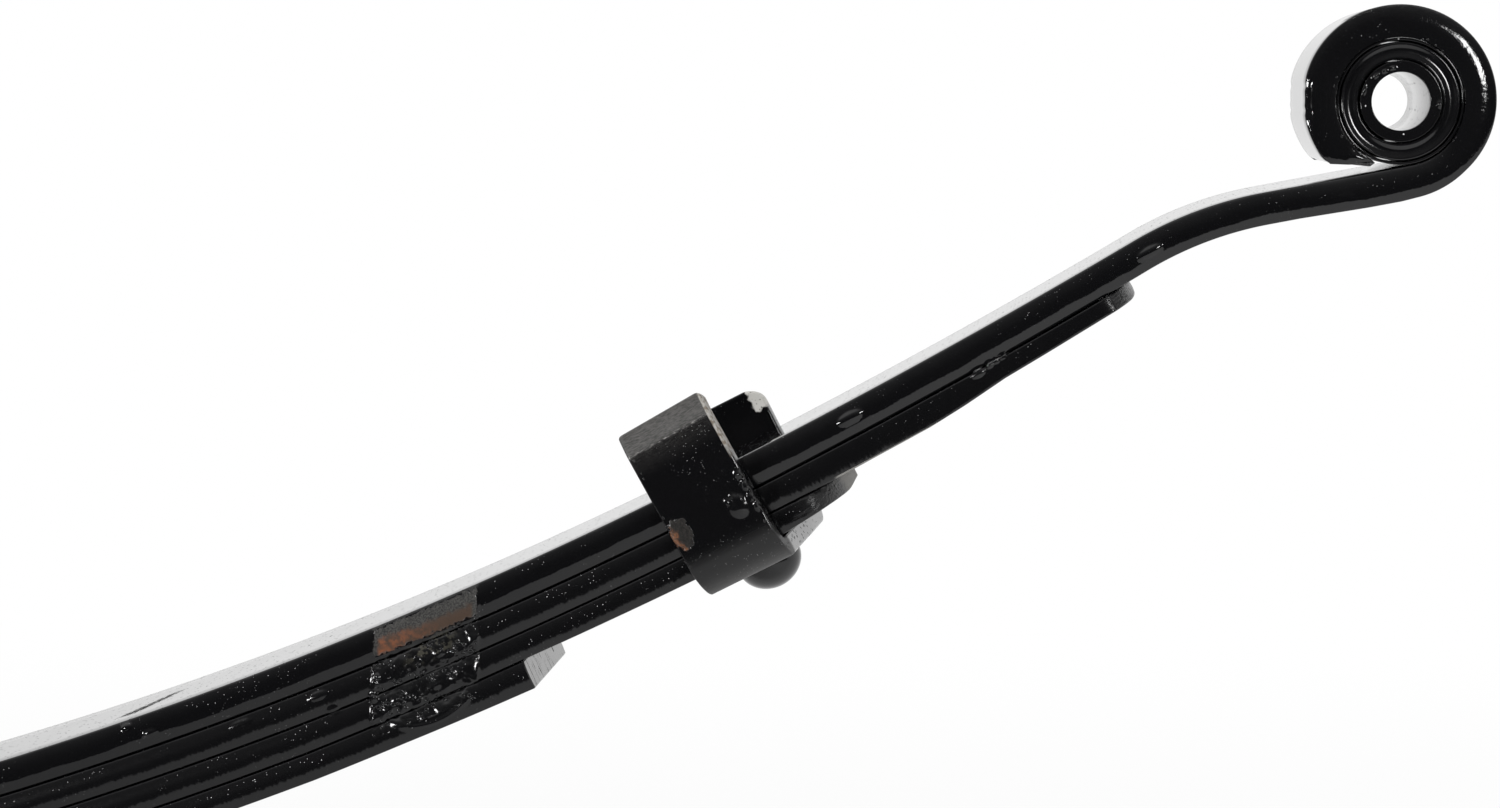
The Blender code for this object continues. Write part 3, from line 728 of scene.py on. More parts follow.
def turned_profile(name, profile, steps, closed):
    """Mesh turned about Z from a profile of (radius, height)."""
    radius, height = np.repeat(np.array(profile).T[:, :, None], steps, axis=2)
    return turned_mesh(name, radius, height, closed)


def rounded(corners, radius, steps=4):
    """Closed profile with its corners rounded."""
    points = []
    count = len(corners)
    for i, corner in enumerate(corners):
        corner = Vector(corner)
        before = Vector(corners[i - 1]) - corner
        after = Vector(corners[(i + 1) % count]) - corner
        reach = min(radius, before.length * 0.45, after.length * 0.45)
        start = corner + before.normalized() * reach
        finish = corner + after.normalized() * reach
        for k in range(steps + 1):
            t = k / steps
            points.append(tuple((1 - t) ** 2 * start + 2 * t * (1 - t) * corner + t * t * finish))
    return points


def bush_profiles():
    """Shell, rubber and sleeve of a bush, turned about Z."""
    shell_outer = EYE_INSIDE_RADIUS - BUSH_GAP
    shell_inner = shell_outer - SHELL_WALL
    sleeve_outer = SLEEVE_BORE_RADIUS + SLEEVE_WALL
    rubber_outer = shell_inner - BUSH_GAP
    rubber_inner = sleeve_outer + BUSH_GAP
    shell_face = HALF_WIDTH - SHELL_SET_IN
    sleeve_face = HALF_WIDTH + SLEEVE_STAND_OUT
    end = []
    for i in range(RUBBER_FACE_STEPS + 1):
        share = (1 - math.cos(math.pi * i / RUBBER_FACE_STEPS)) / 2
        radius = rubber_outer + share * (rubber_inner - rubber_outer)
        to_edge = min(radius - rubber_inner, rubber_outer - radius)
        dip = RUBBER_DIP * (1 - math.cos(math.tau * share)) / 2
        lip = float(quarter_round(to_edge, RUBBER_LIP, RUBBER_LIP))
        end.append((radius, HALF_WIDTH - RUBBER_SET_IN - dip - lip))
    shell = [
        (shell_outer, shell_face), (shell_inner, shell_face),
        (shell_inner, -shell_face), (shell_outer, -shell_face),
    ]
    sleeve = [
        (sleeve_outer - SLEEVE_WALL * i / SLEEVE_FACE_STEPS, sleeve_face) for i in range(SLEEVE_FACE_STEPS)
    ]
    sleeve += [(SLEEVE_BORE_RADIUS, sleeve_face), (SLEEVE_BORE_RADIUS, -sleeve_face)]
    sleeve.append((sleeve_outer, -sleeve_face))
    return {
        "bush_shell": (rounded(shell, SHELL_ROUND), "bush_paint"),
        "bush_rubber": (end + [(radius, -height) for radius, height in reversed(end)], "rubber"),
        "inner_sleeve": (rounded(sleeve, SLEEVE_ROUND), "bush_paint"),
    }


def add_beads(mesh, beads):
    """Raise beads of paint on the end face that looks along +Z."""
    for vertex in mesh.vertices:
        if vertex.co.z > HALF_WIDTH:
            vertex.co.z += drops(vertex.co.x, vertex.co.y, beads)


def rivet_profile():
    """Domed head under the strip, turned about Z."""
    seat = CLIP_FLOOR - CLIP_THICKNESS - RIVET_CLEARANCE
    turn = np.linspace(0.0, math.pi / 2, RIVET_DOME_STEPS + 1)
    dome = np.stack((RIVET_HEAD_RADIUS * np.sin(turn), seat - RIVET_HEAD_HEIGHT * np.cos(turn)), axis=-1)
    return np.append(dome, [(0.0, seat)], axis=0)


def make_ends(materials):
    clip_x, clip_z, clip_slope = (float(value) for value in top_line(CLIP_DISTANCE))
    on_strip = Matrix.Translation((clip_x, 0.0, clip_z)) @ Matrix.Rotation(-clip_slope, 4, "Y")
    on_strip = on_strip @ Matrix.Rotation(-CLIP_SKEW, 4, "Z")
    in_eye = Matrix.Translation((EYE_X, 0.0, EYE_Z)) @ Matrix.Rotation(math.pi / 2, 4, "X")
    for end, half_turn in (("front", 0.0), ("rear", math.pi)):
        about = Matrix.Rotation(half_turn, 4, "Z")
        rivet = turned_profile("rivet", rivet_profile(), FASTENER_STEPS, False)
        under_strip = on_strip @ Matrix.Translation((RIVET_OFFSET, 0.0, 0.0))
        meshes = [
            ("clip", make_clip_mesh("clip", end == "front"), on_strip, "clip_paint", "_arm"),
            ("clip_rivet", rivet, under_strip, "clip_paint", "_arm"),
        ]
        for name, (profile, slot) in bush_profiles().items():
            mesh = turned_profile(name, profile, BUSH_STEPS, True)
            body = "_arm"
            if name == "inner_sleeve":
                add_beads(mesh, SLEEVE_BEADS)
                body = "_sleeve"
            meshes.append((name, mesh, in_eye, slot, body))
        for name, mesh, matrix, slot, body in meshes:
            mesh.transform(about @ matrix)
            piece = add_piece(f"{end}_{name}_piece", mesh, materials[slot])
            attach(piece, end + body)
            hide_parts(f"{end}_{name}")


def make_bolt():
    """Centre bolt: round head below, thread above the nut."""
    head_top = -LEAF_GAP
    head_low = head_top - BOLT_HEAD_HEIGHT
    nut_top = PACK_HEIGHT + LEAF_GAP + NUT_HEIGHT
    tail = nut_top + BOLT_TAIL
    height = nut_top - THREAD_PITCH
    profile = [
        (0.0, head_low), (BOLT_HEAD_RADIUS - BOLT_CHAMFER, head_low),
        (BOLT_HEAD_RADIUS, head_low + BOLT_CHAMFER), (BOLT_HEAD_RADIUS, head_top - 0.0002),
        (BOLT_HEAD_RADIUS - 0.0002, head_top), (BOLT_RADIUS, head_top), (BOLT_RADIUS, height),
    ]
    while height + THREAD_PITCH < tail - BOLT_CHAMFER:
        profile.append((BOLT_RADIUS - THREAD_DEPTH, height + THREAD_PITCH / 2))
        profile.append((BOLT_RADIUS, height + THREAD_PITCH))
        height += THREAD_PITCH
    profile += [(BOLT_RADIUS - BOLT_CHAMFER, tail), (0.0, tail)]
    return turned_profile("centre_bolt", profile, FASTENER_STEPS, False)


def make_nut():
    """Hexagon nut on the main leaf, its corners cut by a cone."""
    hole = BOLT_RADIUS + 0.0004
    low = PACK_HEIGHT + LEAF_GAP
    high = low + NUT_HEIGHT
    sixth = math.tau / 6
    angle = np.linspace(0.0, math.tau, NUT_STEPS, endpoint=False)
    hexagon = NUT_FLAT_RADIUS / np.cos((angle % sixth) - sixth / 2)
    face = NUT_FLAT_RADIUS * NUT_FACE_SHARE
    cut = np.maximum(0.0, hexagon - face) * math.tan(NUT_CONE)
    rings = (
        (face, low), (hexagon, low + cut), (hexagon, high - cut), (face, high),
        (hole + NUT_CHAMFER, high), (hole, high - NUT_CHAMFER),
        (hole, low + NUT_CHAMFER), (hole + NUT_CHAMFER, low),
    )
    radius, height = ([np.broadcast_to(value, NUT_STEPS) for value in values] for values in zip(*rings))
    return turned_mesh("centre_nut", np.array(radius), np.array(height), True)


def make_fasteners(material):
    for node, mesh in (("centre_bolt", make_bolt()), ("centre_nut", make_nut())):
        piece = add_piece(f"{node}_piece", mesh, material)
        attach(piece, "centre_pack")
        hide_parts(node)


class Value:
    """Output of a shader node. Sums, masks and textures made from it are further nodes."""

    def __init__(self, socket):
        self.socket = socket
        self.tree = socket.id_data

    def node(self, kind, inputs, output=0, **settings):
        return add_node(self.tree, kind, inputs, output, **settings)

    def math(self, operation, *inputs):
        return self.node("Math", dict(enumerate(inputs)), operation=operation)

    def __add__(self, other):
        return self.math("ADD", self, other)

    def __sub__(self, other):
        return self.math("SUBTRACT", self, other)

    def __rsub__(self, other):
        return self.math("SUBTRACT", other, self)

    def __mul__(self, other):
        return self.math("MULTIPLY", self, other)

    def __or__(self, other):
        """The larger of two values, which joins two masks."""
        return self.math("MAXIMUM", self, other)

    def __abs__(self):
        return self.math("ABSOLUTE", self)

    def step(self, low, high):
        """0 below low, 1 above high, smooth between; falls instead if high is the lower one."""
        start = 0.0 if high > low else 1.0
        inputs = {"Value": self, "From Min": min(low, high), "From Max": max(low, high)}
        inputs.update({"To Min": start, "To Max": 1.0 - start})
        return self.node("MapRange", inputs, interpolation_type="SMOOTHSTEP")

    def band(self, low, high, soft):
        return self.step(low - soft, low + soft) * self.step(high + soft, high - soft)

    def mix(self, first, second):
        """Mix of two colours, with this value as the share of the second."""
        return self.node("Mix", {0: self, 6: first, 7: second}, 2, data_type="RGBA")

    def blend(self, first, second):
        """Mix of two numbers, with this value as the share of the second."""
        return self.node("Mix", {0: self, 2: first, 3: second}, data_type="FLOAT")

    def split(self):
        first = self.node("SeparateXYZ", {0: self}).socket
        return [Value(socket) for socket in first.node.outputs]

    def scaled(self, *scale):
        return self.node("VectorMath", {0: self, 1: scale}, operation="MULTIPLY")

    def noise(self, scale, detail=2.0, roughness=0.5):
        inputs = {"Vector": self, "Scale": scale, "Detail": detail, "Roughness": roughness}
        return self.node("TexNoise", inputs)

    def cells(self, scale, inputs=None, **settings):
        """Distance from the middle of a cell, that many a metre, and a random number for the cell."""
        inputs = {"Vector": self, "Scale": scale, **(inputs or {})}
        away = self.node("TexVoronoi", inputs, "Distance", **settings)
        return away, Value(away.socket.node.outputs["Color"]).split()[0]

    def specks(self, scale, share, size):
        """Small round specks in a share of the cells."""
        away, pick = self.cells(scale)
        return away.step(size, size * 0.5) * self.math("LESS_THAN", pick, share)

    def bubbles(self, scale, share):
        """Heights from 0 to 1 of popped bubbles: rings in a share of the cells, and domes in the rest."""
        away, pick = self.cells(scale, {"Smoothness": 0.25}, feature="SMOOTH_F1")
        dome, ring = away.step(0.55, 0.05), away.band(0.28, 0.40, 0.08)
        return pick.step(share + 0.05, share - 0.05).blend(dome, ring)


def feed(socket, value):
    """Link a value to a socket, or set the socket to a number or a colour."""
    if isinstance(value, Value):
        value.tree.links.new(value.socket, socket)
    else:
        socket.default_value = (*value, 1.0) if socket.type == "RGBA" else value


def add_node(tree, kind, inputs=None, output=0, **settings):
    node = tree.nodes.new("ShaderNode" + kind)
    for key, value in settings.items():
        setattr(node, key, value)
    for key, value in (inputs or {}).items():
        feed(node.inputs[key], value)
    return Value(node.outputs[output])


def new_material(name):
    material = bpy.data.materials.new(name)
    material.use_nodes = True
    return material


def new_paint(name):
    """A new material, and the place on the surface that its meshes keep."""
    material = new_material(name)
    return material, add_node(material.node_tree, "Attribute", output="Vector", attribute_name="place")


def set_looks(material, colour, roughness, height, tilt=None, metallic=0.0):
    """Feed the material's shader. The height stands on the normal, which can lean up or down a little."""
    tree = material.node_tree
    relief = {"Strength": 1.0, "Distance": 1.0, "Height": height}
    if tilt is not None:
        up = add_node(tree, "CombineXYZ", {"Z": tilt})
        normal = add_node(tree, "NewGeometry", output="Normal")
        relief["Normal"] = add_node(tree, "VectorMath", {0: normal, 1: up}, operation="ADD")
    looks = {"Base Color": colour, "Roughness": roughness, "Metallic": metallic}
    looks["Normal"] = add_node(tree, "Bump", relief)
    for name, value in looks.items():
        feed(tree.nodes["Principled BSDF"].inputs[name], value)
    return material


def unshifted(along):
    """Where the front half is, and distances along either half without the rear half's shift."""
    front = along.step(0.4 * REAR_SHIFT, 0.3 * REAR_SHIFT)
    return front, along + (1.0 - front) * -REAR_SHIFT


# Colours, as pairs where a texture mixes them
BLACK = (0.0030, 0.0030, 0.0034)
# Dust nibs in the paint, their pale grey a painted glint of the light they catch
DUST_AND_GLINT = (0.50, 0.50, 0.50)
STEEL = ((0.005, 0.005, 0.005), (0.044, 0.042, 0.038))
RUST = ((0.040, 0.019, 0.008), (0.130, 0.036, 0.008))
DARK_RUST = (0.020, 0.011, 0.007)
OLIVE = (0.036, 0.034, 0.027)
SHEARED = (0.06, 0.058, 0.054)
# Pale end of the third leaf: a painted reflection of its rounded end, seen at grazing
TIP_END_SHEEN = (0.170, 0.165, 0.155)
# Grey of the near arm's worn facet: a painted reflection of the light above, also used for painted sheen
# up the arm and round its bend
WORN_AND_SHEEN = ((0.022, 0.021, 0.020), (0.078, 0.075, 0.071))
# Pale line along the near arm's crease: a painted highlight where the bend catches the light
CREASE_HIGHLIGHT = (0.42, 0.41, 0.39)
CHIP = ((0.004, 0.0035, 0.003), (0.020, 0.017, 0.015))
CHIP_RUST = (0.120, 0.045, 0.016)
BARE_ARM = ((0.52, 0.51, 0.48), (0.10, 0.10, 0.09))
# Pale and brownish strip down the near arm's right edge: a painted reflection of the backdrop seen at
# grazing
ARM_EDGE_SHEEN = ((0.30, 0.29, 0.27), (0.13, 0.105, 0.08))
RUBBER = ((0.002, 0.002, 0.0024), (0.004, 0.004, 0.0046))
PLATE = ((0.36, 0.35, 0.31), (0.50, 0.49, 0.46))
STAIN = (0.16, 0.13, 0.10)

# Textures: scales in cells a metre, heights and softness of edges in metres
FINE_SCALE = 2600.0
PEEL_SCALE = 420.0
CLUSTER_SCALE = 60.0
PEEL_HEIGHT = 0.000012
CLIP_PEEL_HEIGHT = 0.000014
BLOTCH_HEIGHT = 0.00007
BUBBLE_HEIGHT = 0.00015
BRUSHED_HEIGHT = 0.00032
DULL_DEPTH = 0.00012
SCRATCH_HEIGHT = 0.00080
SOFT = 0.0003
TIP_SOFT = 0.0001
RAGGED_EDGE = 0.0024

# Marks on the leaves
SPECK_ROW = 0.0079              # pitch of the painted leaves, whose upper sides hold the specks
SPECK_ROW_START = 0.0003
SCRATCH_FROM = Vector((0.4467, -0.0144))
SCRATCH_TO = Vector((0.4558, 0.0058))
NICKS = ((0.0150, 0.34, 0.62), (0.0235, 0.09, 0.25))   # on the sheared end: across, share of depth
NICK_HALF_WIDTH = 0.0005
SHEAR_LIP = -0.0270
SHEAR_LIP_HALF_WIDTH = 0.0002
SCUFF = (along_at(math.radians(197)), along_at(math.radians(213)))

# Marks on the clip's near arm: a worn facet above a crease, with a painted reflection on the facet and a
# painted highlight along the crease, and a chip as middle and half size
CREASE_TILT = 0.049
CREASE_LEVEL = (0.0131, 0.0135)
CHIP_MIDDLE = (-0.0088, -0.0100)
CHIP_HALF_SIZE = (0.0028, 0.0042)


def scratch_mask(place, ragged):
    """1 along the scratch on the main leaf's top face, which thins out into hairs."""
    along, across, _ = place.split()
    line = SCRATCH_TO - SCRATCH_FROM
    run_along, run_across = along - SCRATCH_FROM.x, across - SCRATCH_FROM.y
    share = run_along * (line.x / line.length_squared) + run_across * (line.y / line.length_squared)
    off = run_along * (line.y / line.length) + run_across * (-line.x / line.length)
    off = abs(off + ragged * 0.0060) + share * 0.0012
    hairs = place.scaled(1.0, 0.10, 1.0).noise(1500.0).step(0.36, 0.52)
    hairs = off.step(0.0018, 0.0006).blend(hairs, 1.0)
    return off.step(0.0042, 0.0016) * share.band(0.0, 1.0, 0.12) * hairs


def shear_marks(place):
    """The fourth leaf's sheared end: where it is, and the dark marks down it."""
    along, across, depth = place.split()
    _, along = unshifted(along)
    end = along.step(FOURTH_TIP - SHEAR_ROUND * 0.6, FOURTH_TIP - SHEAR_ROUND * 0.2)
    end = end * along.step(FOURTH_TIP + 0.0010, FOURTH_TIP + 0.0005)
    end = end * depth.step(FOURTH_TOP - 0.0002, FOURTH_TOP - 0.0001)
    marks = place.scaled(0.1, 1.0, 0.16).noise(1300.0, 3.0).step(0.60, 0.72)
    for middle, *shares in NICKS:
        low, high = (FOURTH_TOP + share * LEAF_THICKNESS for share in shares)
        nick = across.band(middle - NICK_HALF_WIDTH, middle + NICK_HALF_WIDTH, SOFT)
        marks = marks | nick * depth.band(low, high, SOFT)
    lip = across.band(SHEAR_LIP - SHEAR_LIP_HALF_WIDTH, SHEAR_LIP + SHEAR_LIP_HALF_WIDTH, 0.0002)
    return end, end * (marks | lip * 0.7)


def leaf_places(place):
    """The unrolled place on a leaf, and the textures that several of its marks share."""
    along, across, depth = place.split()
    return SimpleNamespace(
        place=place, along=along, across=across, depth=depth, on_half=unshifted(along)[1],
        near=across.step(-HALF_WIDTH + 0.0040, -HALF_WIDTH + 0.0025),
        side=abs(across).step(HALF_WIDTH - 0.0030, HALF_WIDTH - 0.0018),
        plumb=along + depth * PLUMB_LEAN, ragged=place.noise(900.0, 3.0) - 0.5,
        fine=place.noise(FINE_SCALE, 3.0, 0.65), mottle=place.noise(700.0, 3.0),
        lower=depth.step(MAIN_THICKNESS + 0.0008, MAIN_THICKNESS + 0.0012),
    )


def patch_masks(at):
    """Bare steel of the patch, rust on it, and the thick paint below it."""
    zone = at.near * (at.plumb + at.ragged * RAGGED_EDGE).band(PATCH_FROM, PATCH_TO, SOFT)
    ragged_depth = at.depth + at.ragged * RAGGED_EDGE
    bare = zone * ragged_depth.band(PATCH_TOP, PATCH_BOTTOM, SOFT)
    rust_depth = ragged_depth + at.plumb.step(0.521, 0.534) * -RUST_FALL
    inside = at.plumb.band(PATCH_FROM + 0.0012, PATCH_TO - 0.0014, 0.0006)
    rust = bare * inside * rust_depth.step(RUST_TOP - 0.0009, RUST_TOP + 0.0010)
    return bare, rust, zone * at.depth.band(MAIN_THICKNESS - 0.0006, THICK_BOTTOM, SOFT)


def patch_colour(at, colour, bare, rust, thick):
    """A colour with the patch's thin olive paint, bare steel and rust laid over it."""
    steel = at.fine.step(0.36, 0.66).mix(*STEEL)
    bright = at.plumb.step(0.540, 0.522) * at.mottle.step(0.35, 0.65)
    brown = at.fine.step(0.56, 0.72).mix(bright.mix(*RUST), DARK_RUST)
    olive = at.mottle.step(0.48, 0.60).mix(BLACK, OLIVE)
    thin = at.plumb.band(0.5290, 0.5410, 0.0030) * at.depth.band(0.0080, 0.0125, 0.0015)
    colour = (thick * thin).mix(colour, olive)
    return rust.mix(bare.mix(colour, steel), brown)


def leaf_specks(at):
    """White specks, in clusters on the upper part of each side and down the patch's upper end: dust nibs
    whose pale colour is a painted glint.
    """
    row = at.depth.math("FRACT", (at.depth - SPECK_ROW_START) * (1 / SPECK_ROW))
    upper = row.band(0.10, 0.40, 0.08) * 0.85 + 0.15
    clusters = at.place.scaled(1.0, 1.0, 2.4).noise(CLUSTER_SCALE).step(0.48, 0.62)
    fewer = at.on_half.step(0.62, 0.56) * 0.75 + 0.25
    rim = at.near * at.plumb.band(PATCH_TO - 0.0007, PATCH_TO + 0.0004, SOFT)
    return at.place.specks(2100.0, 0.10, 0.33) * (clusters * upper * at.side * fewer | rim)


def tip_masks(at):
    """Brushed sides of the trimmed tips, and the rounded end of the third leaf, which takes a painted
    sheen.
    """
    third = at.on_half.step(THIRD_TIP - 0.018, THIRD_TIP - 0.010)
    third = third * at.depth.band(THIRD_TOP + 0.0006, FOURTH_TOP - 0.0002, TIP_SOFT)
    second = at.on_half.step(SECOND_TIP - 0.010, SECOND_TIP - 0.005)
    second = second * at.depth.band(SECOND_TOP + 0.0006, THIRD_TOP - 0.0002, TIP_SOFT)
    # pale end of the third leaf: painted sheen where its rounded end is seen at grazing
    end = (at.on_half + at.ragged * 0.0015).step(THIRD_TIP - 0.0022, THIRD_TIP - 0.0008)
    return third + second, end * at.depth.band(THIRD_TOP - 0.0001, FOURTH_TOP - 0.0002, TIP_SOFT)


def run_tilt(at, thick):
    """How far runs in the paint lean the surface up or down."""
    hair = at.place.scaled(1.0, 0.2, 0.06).noise(1300.0, 3.0)
    runs = at.place.scaled(1.0, 0.5, 1.2)
    tilt = (hair - 0.5) * at.lower.blend(0.06, 0.20)
    return tilt + (runs.noise(75.0) - 0.5) * 0.16 + (runs.noise(260.0, 1.0) - 0.5) * 0.06 + thick * 0.10


def paint_height(at, thick):
    """Orange peel, blotches on the eye's side and bubbles in the thick paint."""
    in_eye = at.side * at.on_half.step(EYE_START + 0.006, EYE_START + 0.016)
    outer = at.depth.step(0.0030, 0.0045) * 0.7 + 0.3
    blotch = at.place.noise(800.0, 3.0, 0.6) * in_eye * outer * BLOTCH_HEIGHT
    foamy = at.place.scaled(1.0, 1.0, 1.6).noise(170.0).step(0.44, 0.56)
    foam = at.place.bubbles(760.0, 0.60) * thick * foamy * BUBBLE_HEIGHT
    return at.place.noise(PEEL_SCALE) * PEEL_HEIGHT + blotch + foam


def leaf_paint():
    """Thick glossy black paint with runs, specks, a bare rusty patch, a scratch and a sheared end.
    The specks' pale colour is a painted glint, and the third leaf's rounded end has a painted sheen.
    """
    material, place = new_paint("leaf_paint")
    at = leaf_places(place)
    bare, rust, thick = patch_masks(at)
    white = leaf_specks(at)
    on_top = at.depth.step(0.0005, 0.0002)
    scratch = scratch_mask(at.place, at.ragged) * on_top
    end, marks = shear_marks(at.place)
    tips, painted_edge_sheen = tip_masks(at)
    scuff = at.along.band(*SCUFF, 0.001) * at.ragged.step(-0.08, 0.05)
    scuff = scuff * at.depth.step(MAIN_THICKNESS - 0.0006, MAIN_THICKNESS - 0.0003)
    scuff = scuff * at.across.step(-0.010, -0.024)
    pits = at.place.specks(900.0, 0.14, 0.34) * on_top
    dull = pits | scratch | marks | scuff | painted_edge_sheen * 0.7

    colour = patch_colour(at, white.mix(BLACK, DUST_AND_GLINT), bare, rust, thick)
    # painted sheen on the third leaf's rounded end
    colour = painted_edge_sheen.mix((end * 0.5).mix(colour, SHEARED), TIP_END_SHEEN)
    gloss = at.lower.blend(0.08, 0.15) + tips * 0.14
    roughness = bare.blend((dull | white).blend(gloss, 0.80), 0.72)

    brushed = at.place.scaled(0.12, 1.0, 1.0).noise(1500.0, 3.0)
    grit = at.fine * bare * 0.00006 + brushed * tips * BRUSHED_HEIGHT
    height = paint_height(at, thick) + grit + white * 0.00008 + dull * -DULL_DEPTH
    height = height + scratch * at.fine * SCRATCH_HEIGHT
    return set_looks(material, colour, roughness, height, run_tilt(at, thick))


def clip_chip(along, level, ragged, fine):
    """The chip in the near arm's paint: where it is, and its rusty colour."""
    middle, half = CHIP_MIDDLE, CHIP_HALF_SIZE
    out_along, out_level = (along - middle[0]) * (1 / half[0]), (level - middle[1]) * (1 / half[1])
    away = out_along * out_along + out_level * out_level + ragged * 1.6
    rusty = (along + level * 0.30 + ragged * 0.0040).step(-0.0126, -0.0138) * fine.step(0.66, 0.45)
    return away.step(1.10, 0.85), rusty.mix(fine.step(0.38, 0.66).mix(*CHIP), CHIP_RUST)


def clip_paint():
    """Black paint with a worn facet on the near arm, a rusty chip and clustered specks.
    Light is painted on the near arm: a reflection on the facet and down its edge, sheen up it and round
    the bend, a highlight along the crease, and glints in the specks.
    """
    material, place = new_paint("clip_paint")
    along, across, level = place.split()
    front, along = unshifted(along)
    near = across.step(-0.0300, -0.0340)
    fine = place.noise(FINE_SCALE, 3.0, 0.65)
    ragged = place.noise(700.0, 3.0) - 0.5
    brushed = place.scaled(0.30, 1.0, 1.6).noise(2300.0, 4.0, 0.65)

    tilted_level = level + along * -CREASE_TILT + ragged * 0.0006
    facet = across.step(-0.0260, -0.0300) * tilted_level.step(0.0118, 0.0146)
    # pale line along the crease: a painted highlight
    crease = near * tilted_level.band(*CREASE_LEVEL, SOFT) * brushed.step(0.48, 0.66)
    bend = across.step(-0.0240, -0.0280) * level.step(-0.0140, -0.0215)
    # painted sheen: lighter up the near arm towards its top, and round the bend where it curves
    painted_sheen = near * tilted_level.step(0.0060, 0.0135) * 0.22 + bend * level.step(-0.0230, -0.0272) * 0.30
    chip, chip_colour = clip_chip(along, level, ragged, fine)
    chip = near * front * chip
    bare = front * across.step(0.0280, 0.0300) * (along + ragged * 0.0020).step(0.0092, 0.0098)
    bare = bare * (level + ragged * 0.0030).step(0.0058, 0.0066)
    upright = along + (level - CLIP_NEAR_LEVEL) * CLIP_NEAR_SLANT
    # painted reflection down the near arm's right edge, seen at grazing
    painted_edge_sheen = across.step(-0.0270, -0.0290)
    painted_edge_sheen = painted_edge_sheen * upright.step(CLIP_HALF_WIDTH - 0.0010, CLIP_HALF_WIDTH - 0.0007)
    painted_edge_sheen = painted_edge_sheen * (level + ragged * 0.0060).step(0.0005, 0.0060)
    clusters = place.noise(CLUSTER_SCALE).step(0.40, 0.60)
    # specks of dust whose pale colour is a painted glint
    white = place.specks(2400.0, 0.11, 0.30) * clusters * 0.35
    edge = abs(along).step(CLIP_HALF_WIDTH - 0.0012, CLIP_HALF_WIDTH - 0.0008)
    pits = place.specks(800.0, 0.30, 0.36) * edge

    # the facet's grey is a painted reflection of the light above on its worn paint
    colour = (facet | painted_sheen).mix(white.mix(BLACK, DUST_AND_GLINT), brushed.step(0.30, 0.70).mix(*WORN_AND_SHEEN))
    colour = chip.mix((crease * 0.6).mix(colour, CREASE_HIGHLIGHT), chip_colour)
    colour = bare.mix(colour, place.specks(1500.0, 0.4, 0.45).mix(*BARE_ARM))
    colour = painted_edge_sheen.mix(colour, ragged.step(-0.05, 0.12).mix(*ARM_EDGE_SHEEN))
    dull = facet * 0.55 | chip * 0.35 | white | pits | bare | painted_edge_sheen | bend * 0.60
    height = place.noise(PEEL_SCALE) * CLIP_PEEL_HEIGHT + fine * 0.000004 + white * 0.00005
    height = height + brushed * facet * 0.00005 + chip * -0.00012
    height = height + chip * fine * 0.00003 + pits * -0.00008
    return set_looks(material, colour, dull.blend(0.12, 0.75), height)


def bush_paint():
    """Smooth black paint, with specks on the faces, their pale colour a painted glint, and pits in the
    sleeve's bore.
    """
    material, place = new_paint("bush_paint")
    x, y, _ = place.split()
    radius = x.math("SQRT", x * x + y * y)
    bore = radius.step(SLEEVE_BORE_RADIUS + 0.0003, SLEEVE_BORE_RADIUS + 0.0001)
    # specks of dust whose pale colour is a painted glint
    white = place.specks(1500.0, 0.02, 0.40) * (1.0 - bore)
    pits = place.specks(900.0, 0.16, 0.30) * bore
    height = place.noise(PEEL_SCALE) * 0.00002 + pits * -0.00010
    return set_looks(material, white.mix(BLACK, DUST_AND_GLINT), (white | pits).blend(0.09, 0.7), height)


def rubber():
    material, place = new_paint("rubber")
    mottle = place.noise(300.0, 3.0)
    height = place.noise(600.0, 3.0) * 0.00001
    return set_looks(material, mottle.mix(*RUBBER), mottle.blend(0.08, 0.16), height)


def plated_steel():
    material, place = new_paint("plated_steel")
    mottle = place.noise(500.0, 4.0)
    stain = place.noise(160.0, 3.0).step(0.52, 0.70)
    colour = stain.mix(mottle.mix(*PLATE), STAIN)
    return set_looks(material, colour, stain.blend(0.34, 0.6), mottle * 0.00003, metallic=1.0)


FLOOR_Z = -0.0085
FLOOR_REACH = 8.0
FLOOR_COLOUR = (0.88, 0.88, 0.88)
FLOOR_DIMMING = {"From Min": 0.40, "From Max": 0.76, "To Min": 0.27, "To Max": 0.86}
CARD_EDGE = ((6.0, -0.50), (0.76, -0.50), (0.60, -0.42), (0.45, -0.22), (0.30, -0.15), (-6.0, -0.12))
CARD_Y = -2.0
CARD_TOP = 4.0
CARD_REACH = 6.0
CARD_STOPS = ((0.0, 0.012), (0.12, 0.03), (0.5, 0.22), (0.9, 0.7))   # share of its height, brightness

# Lamps: place, size and power
LAMPS = {
    "right_box": ((1.006, -0.695, 0.366), (0.12, 0.15), 1.75),
    "left_box": ((-0.320, -1.04, 0.120), (0.28, 0.18), 8.0),
}


def add_stage(name, corners, material):
    mesh = bpy.data.meshes.new(name)
    mesh.from_pydata(corners, [], [tuple(range(len(corners)))])
    obj = link_object(name, mesh)
    mesh.materials.append(material)
    return obj


def position(tree):
    return add_node(tree, "NewGeometry", output="Position").split()


def set_surface(tree, value):
    feed(tree.nodes["Material Output"].inputs["Surface"], value)


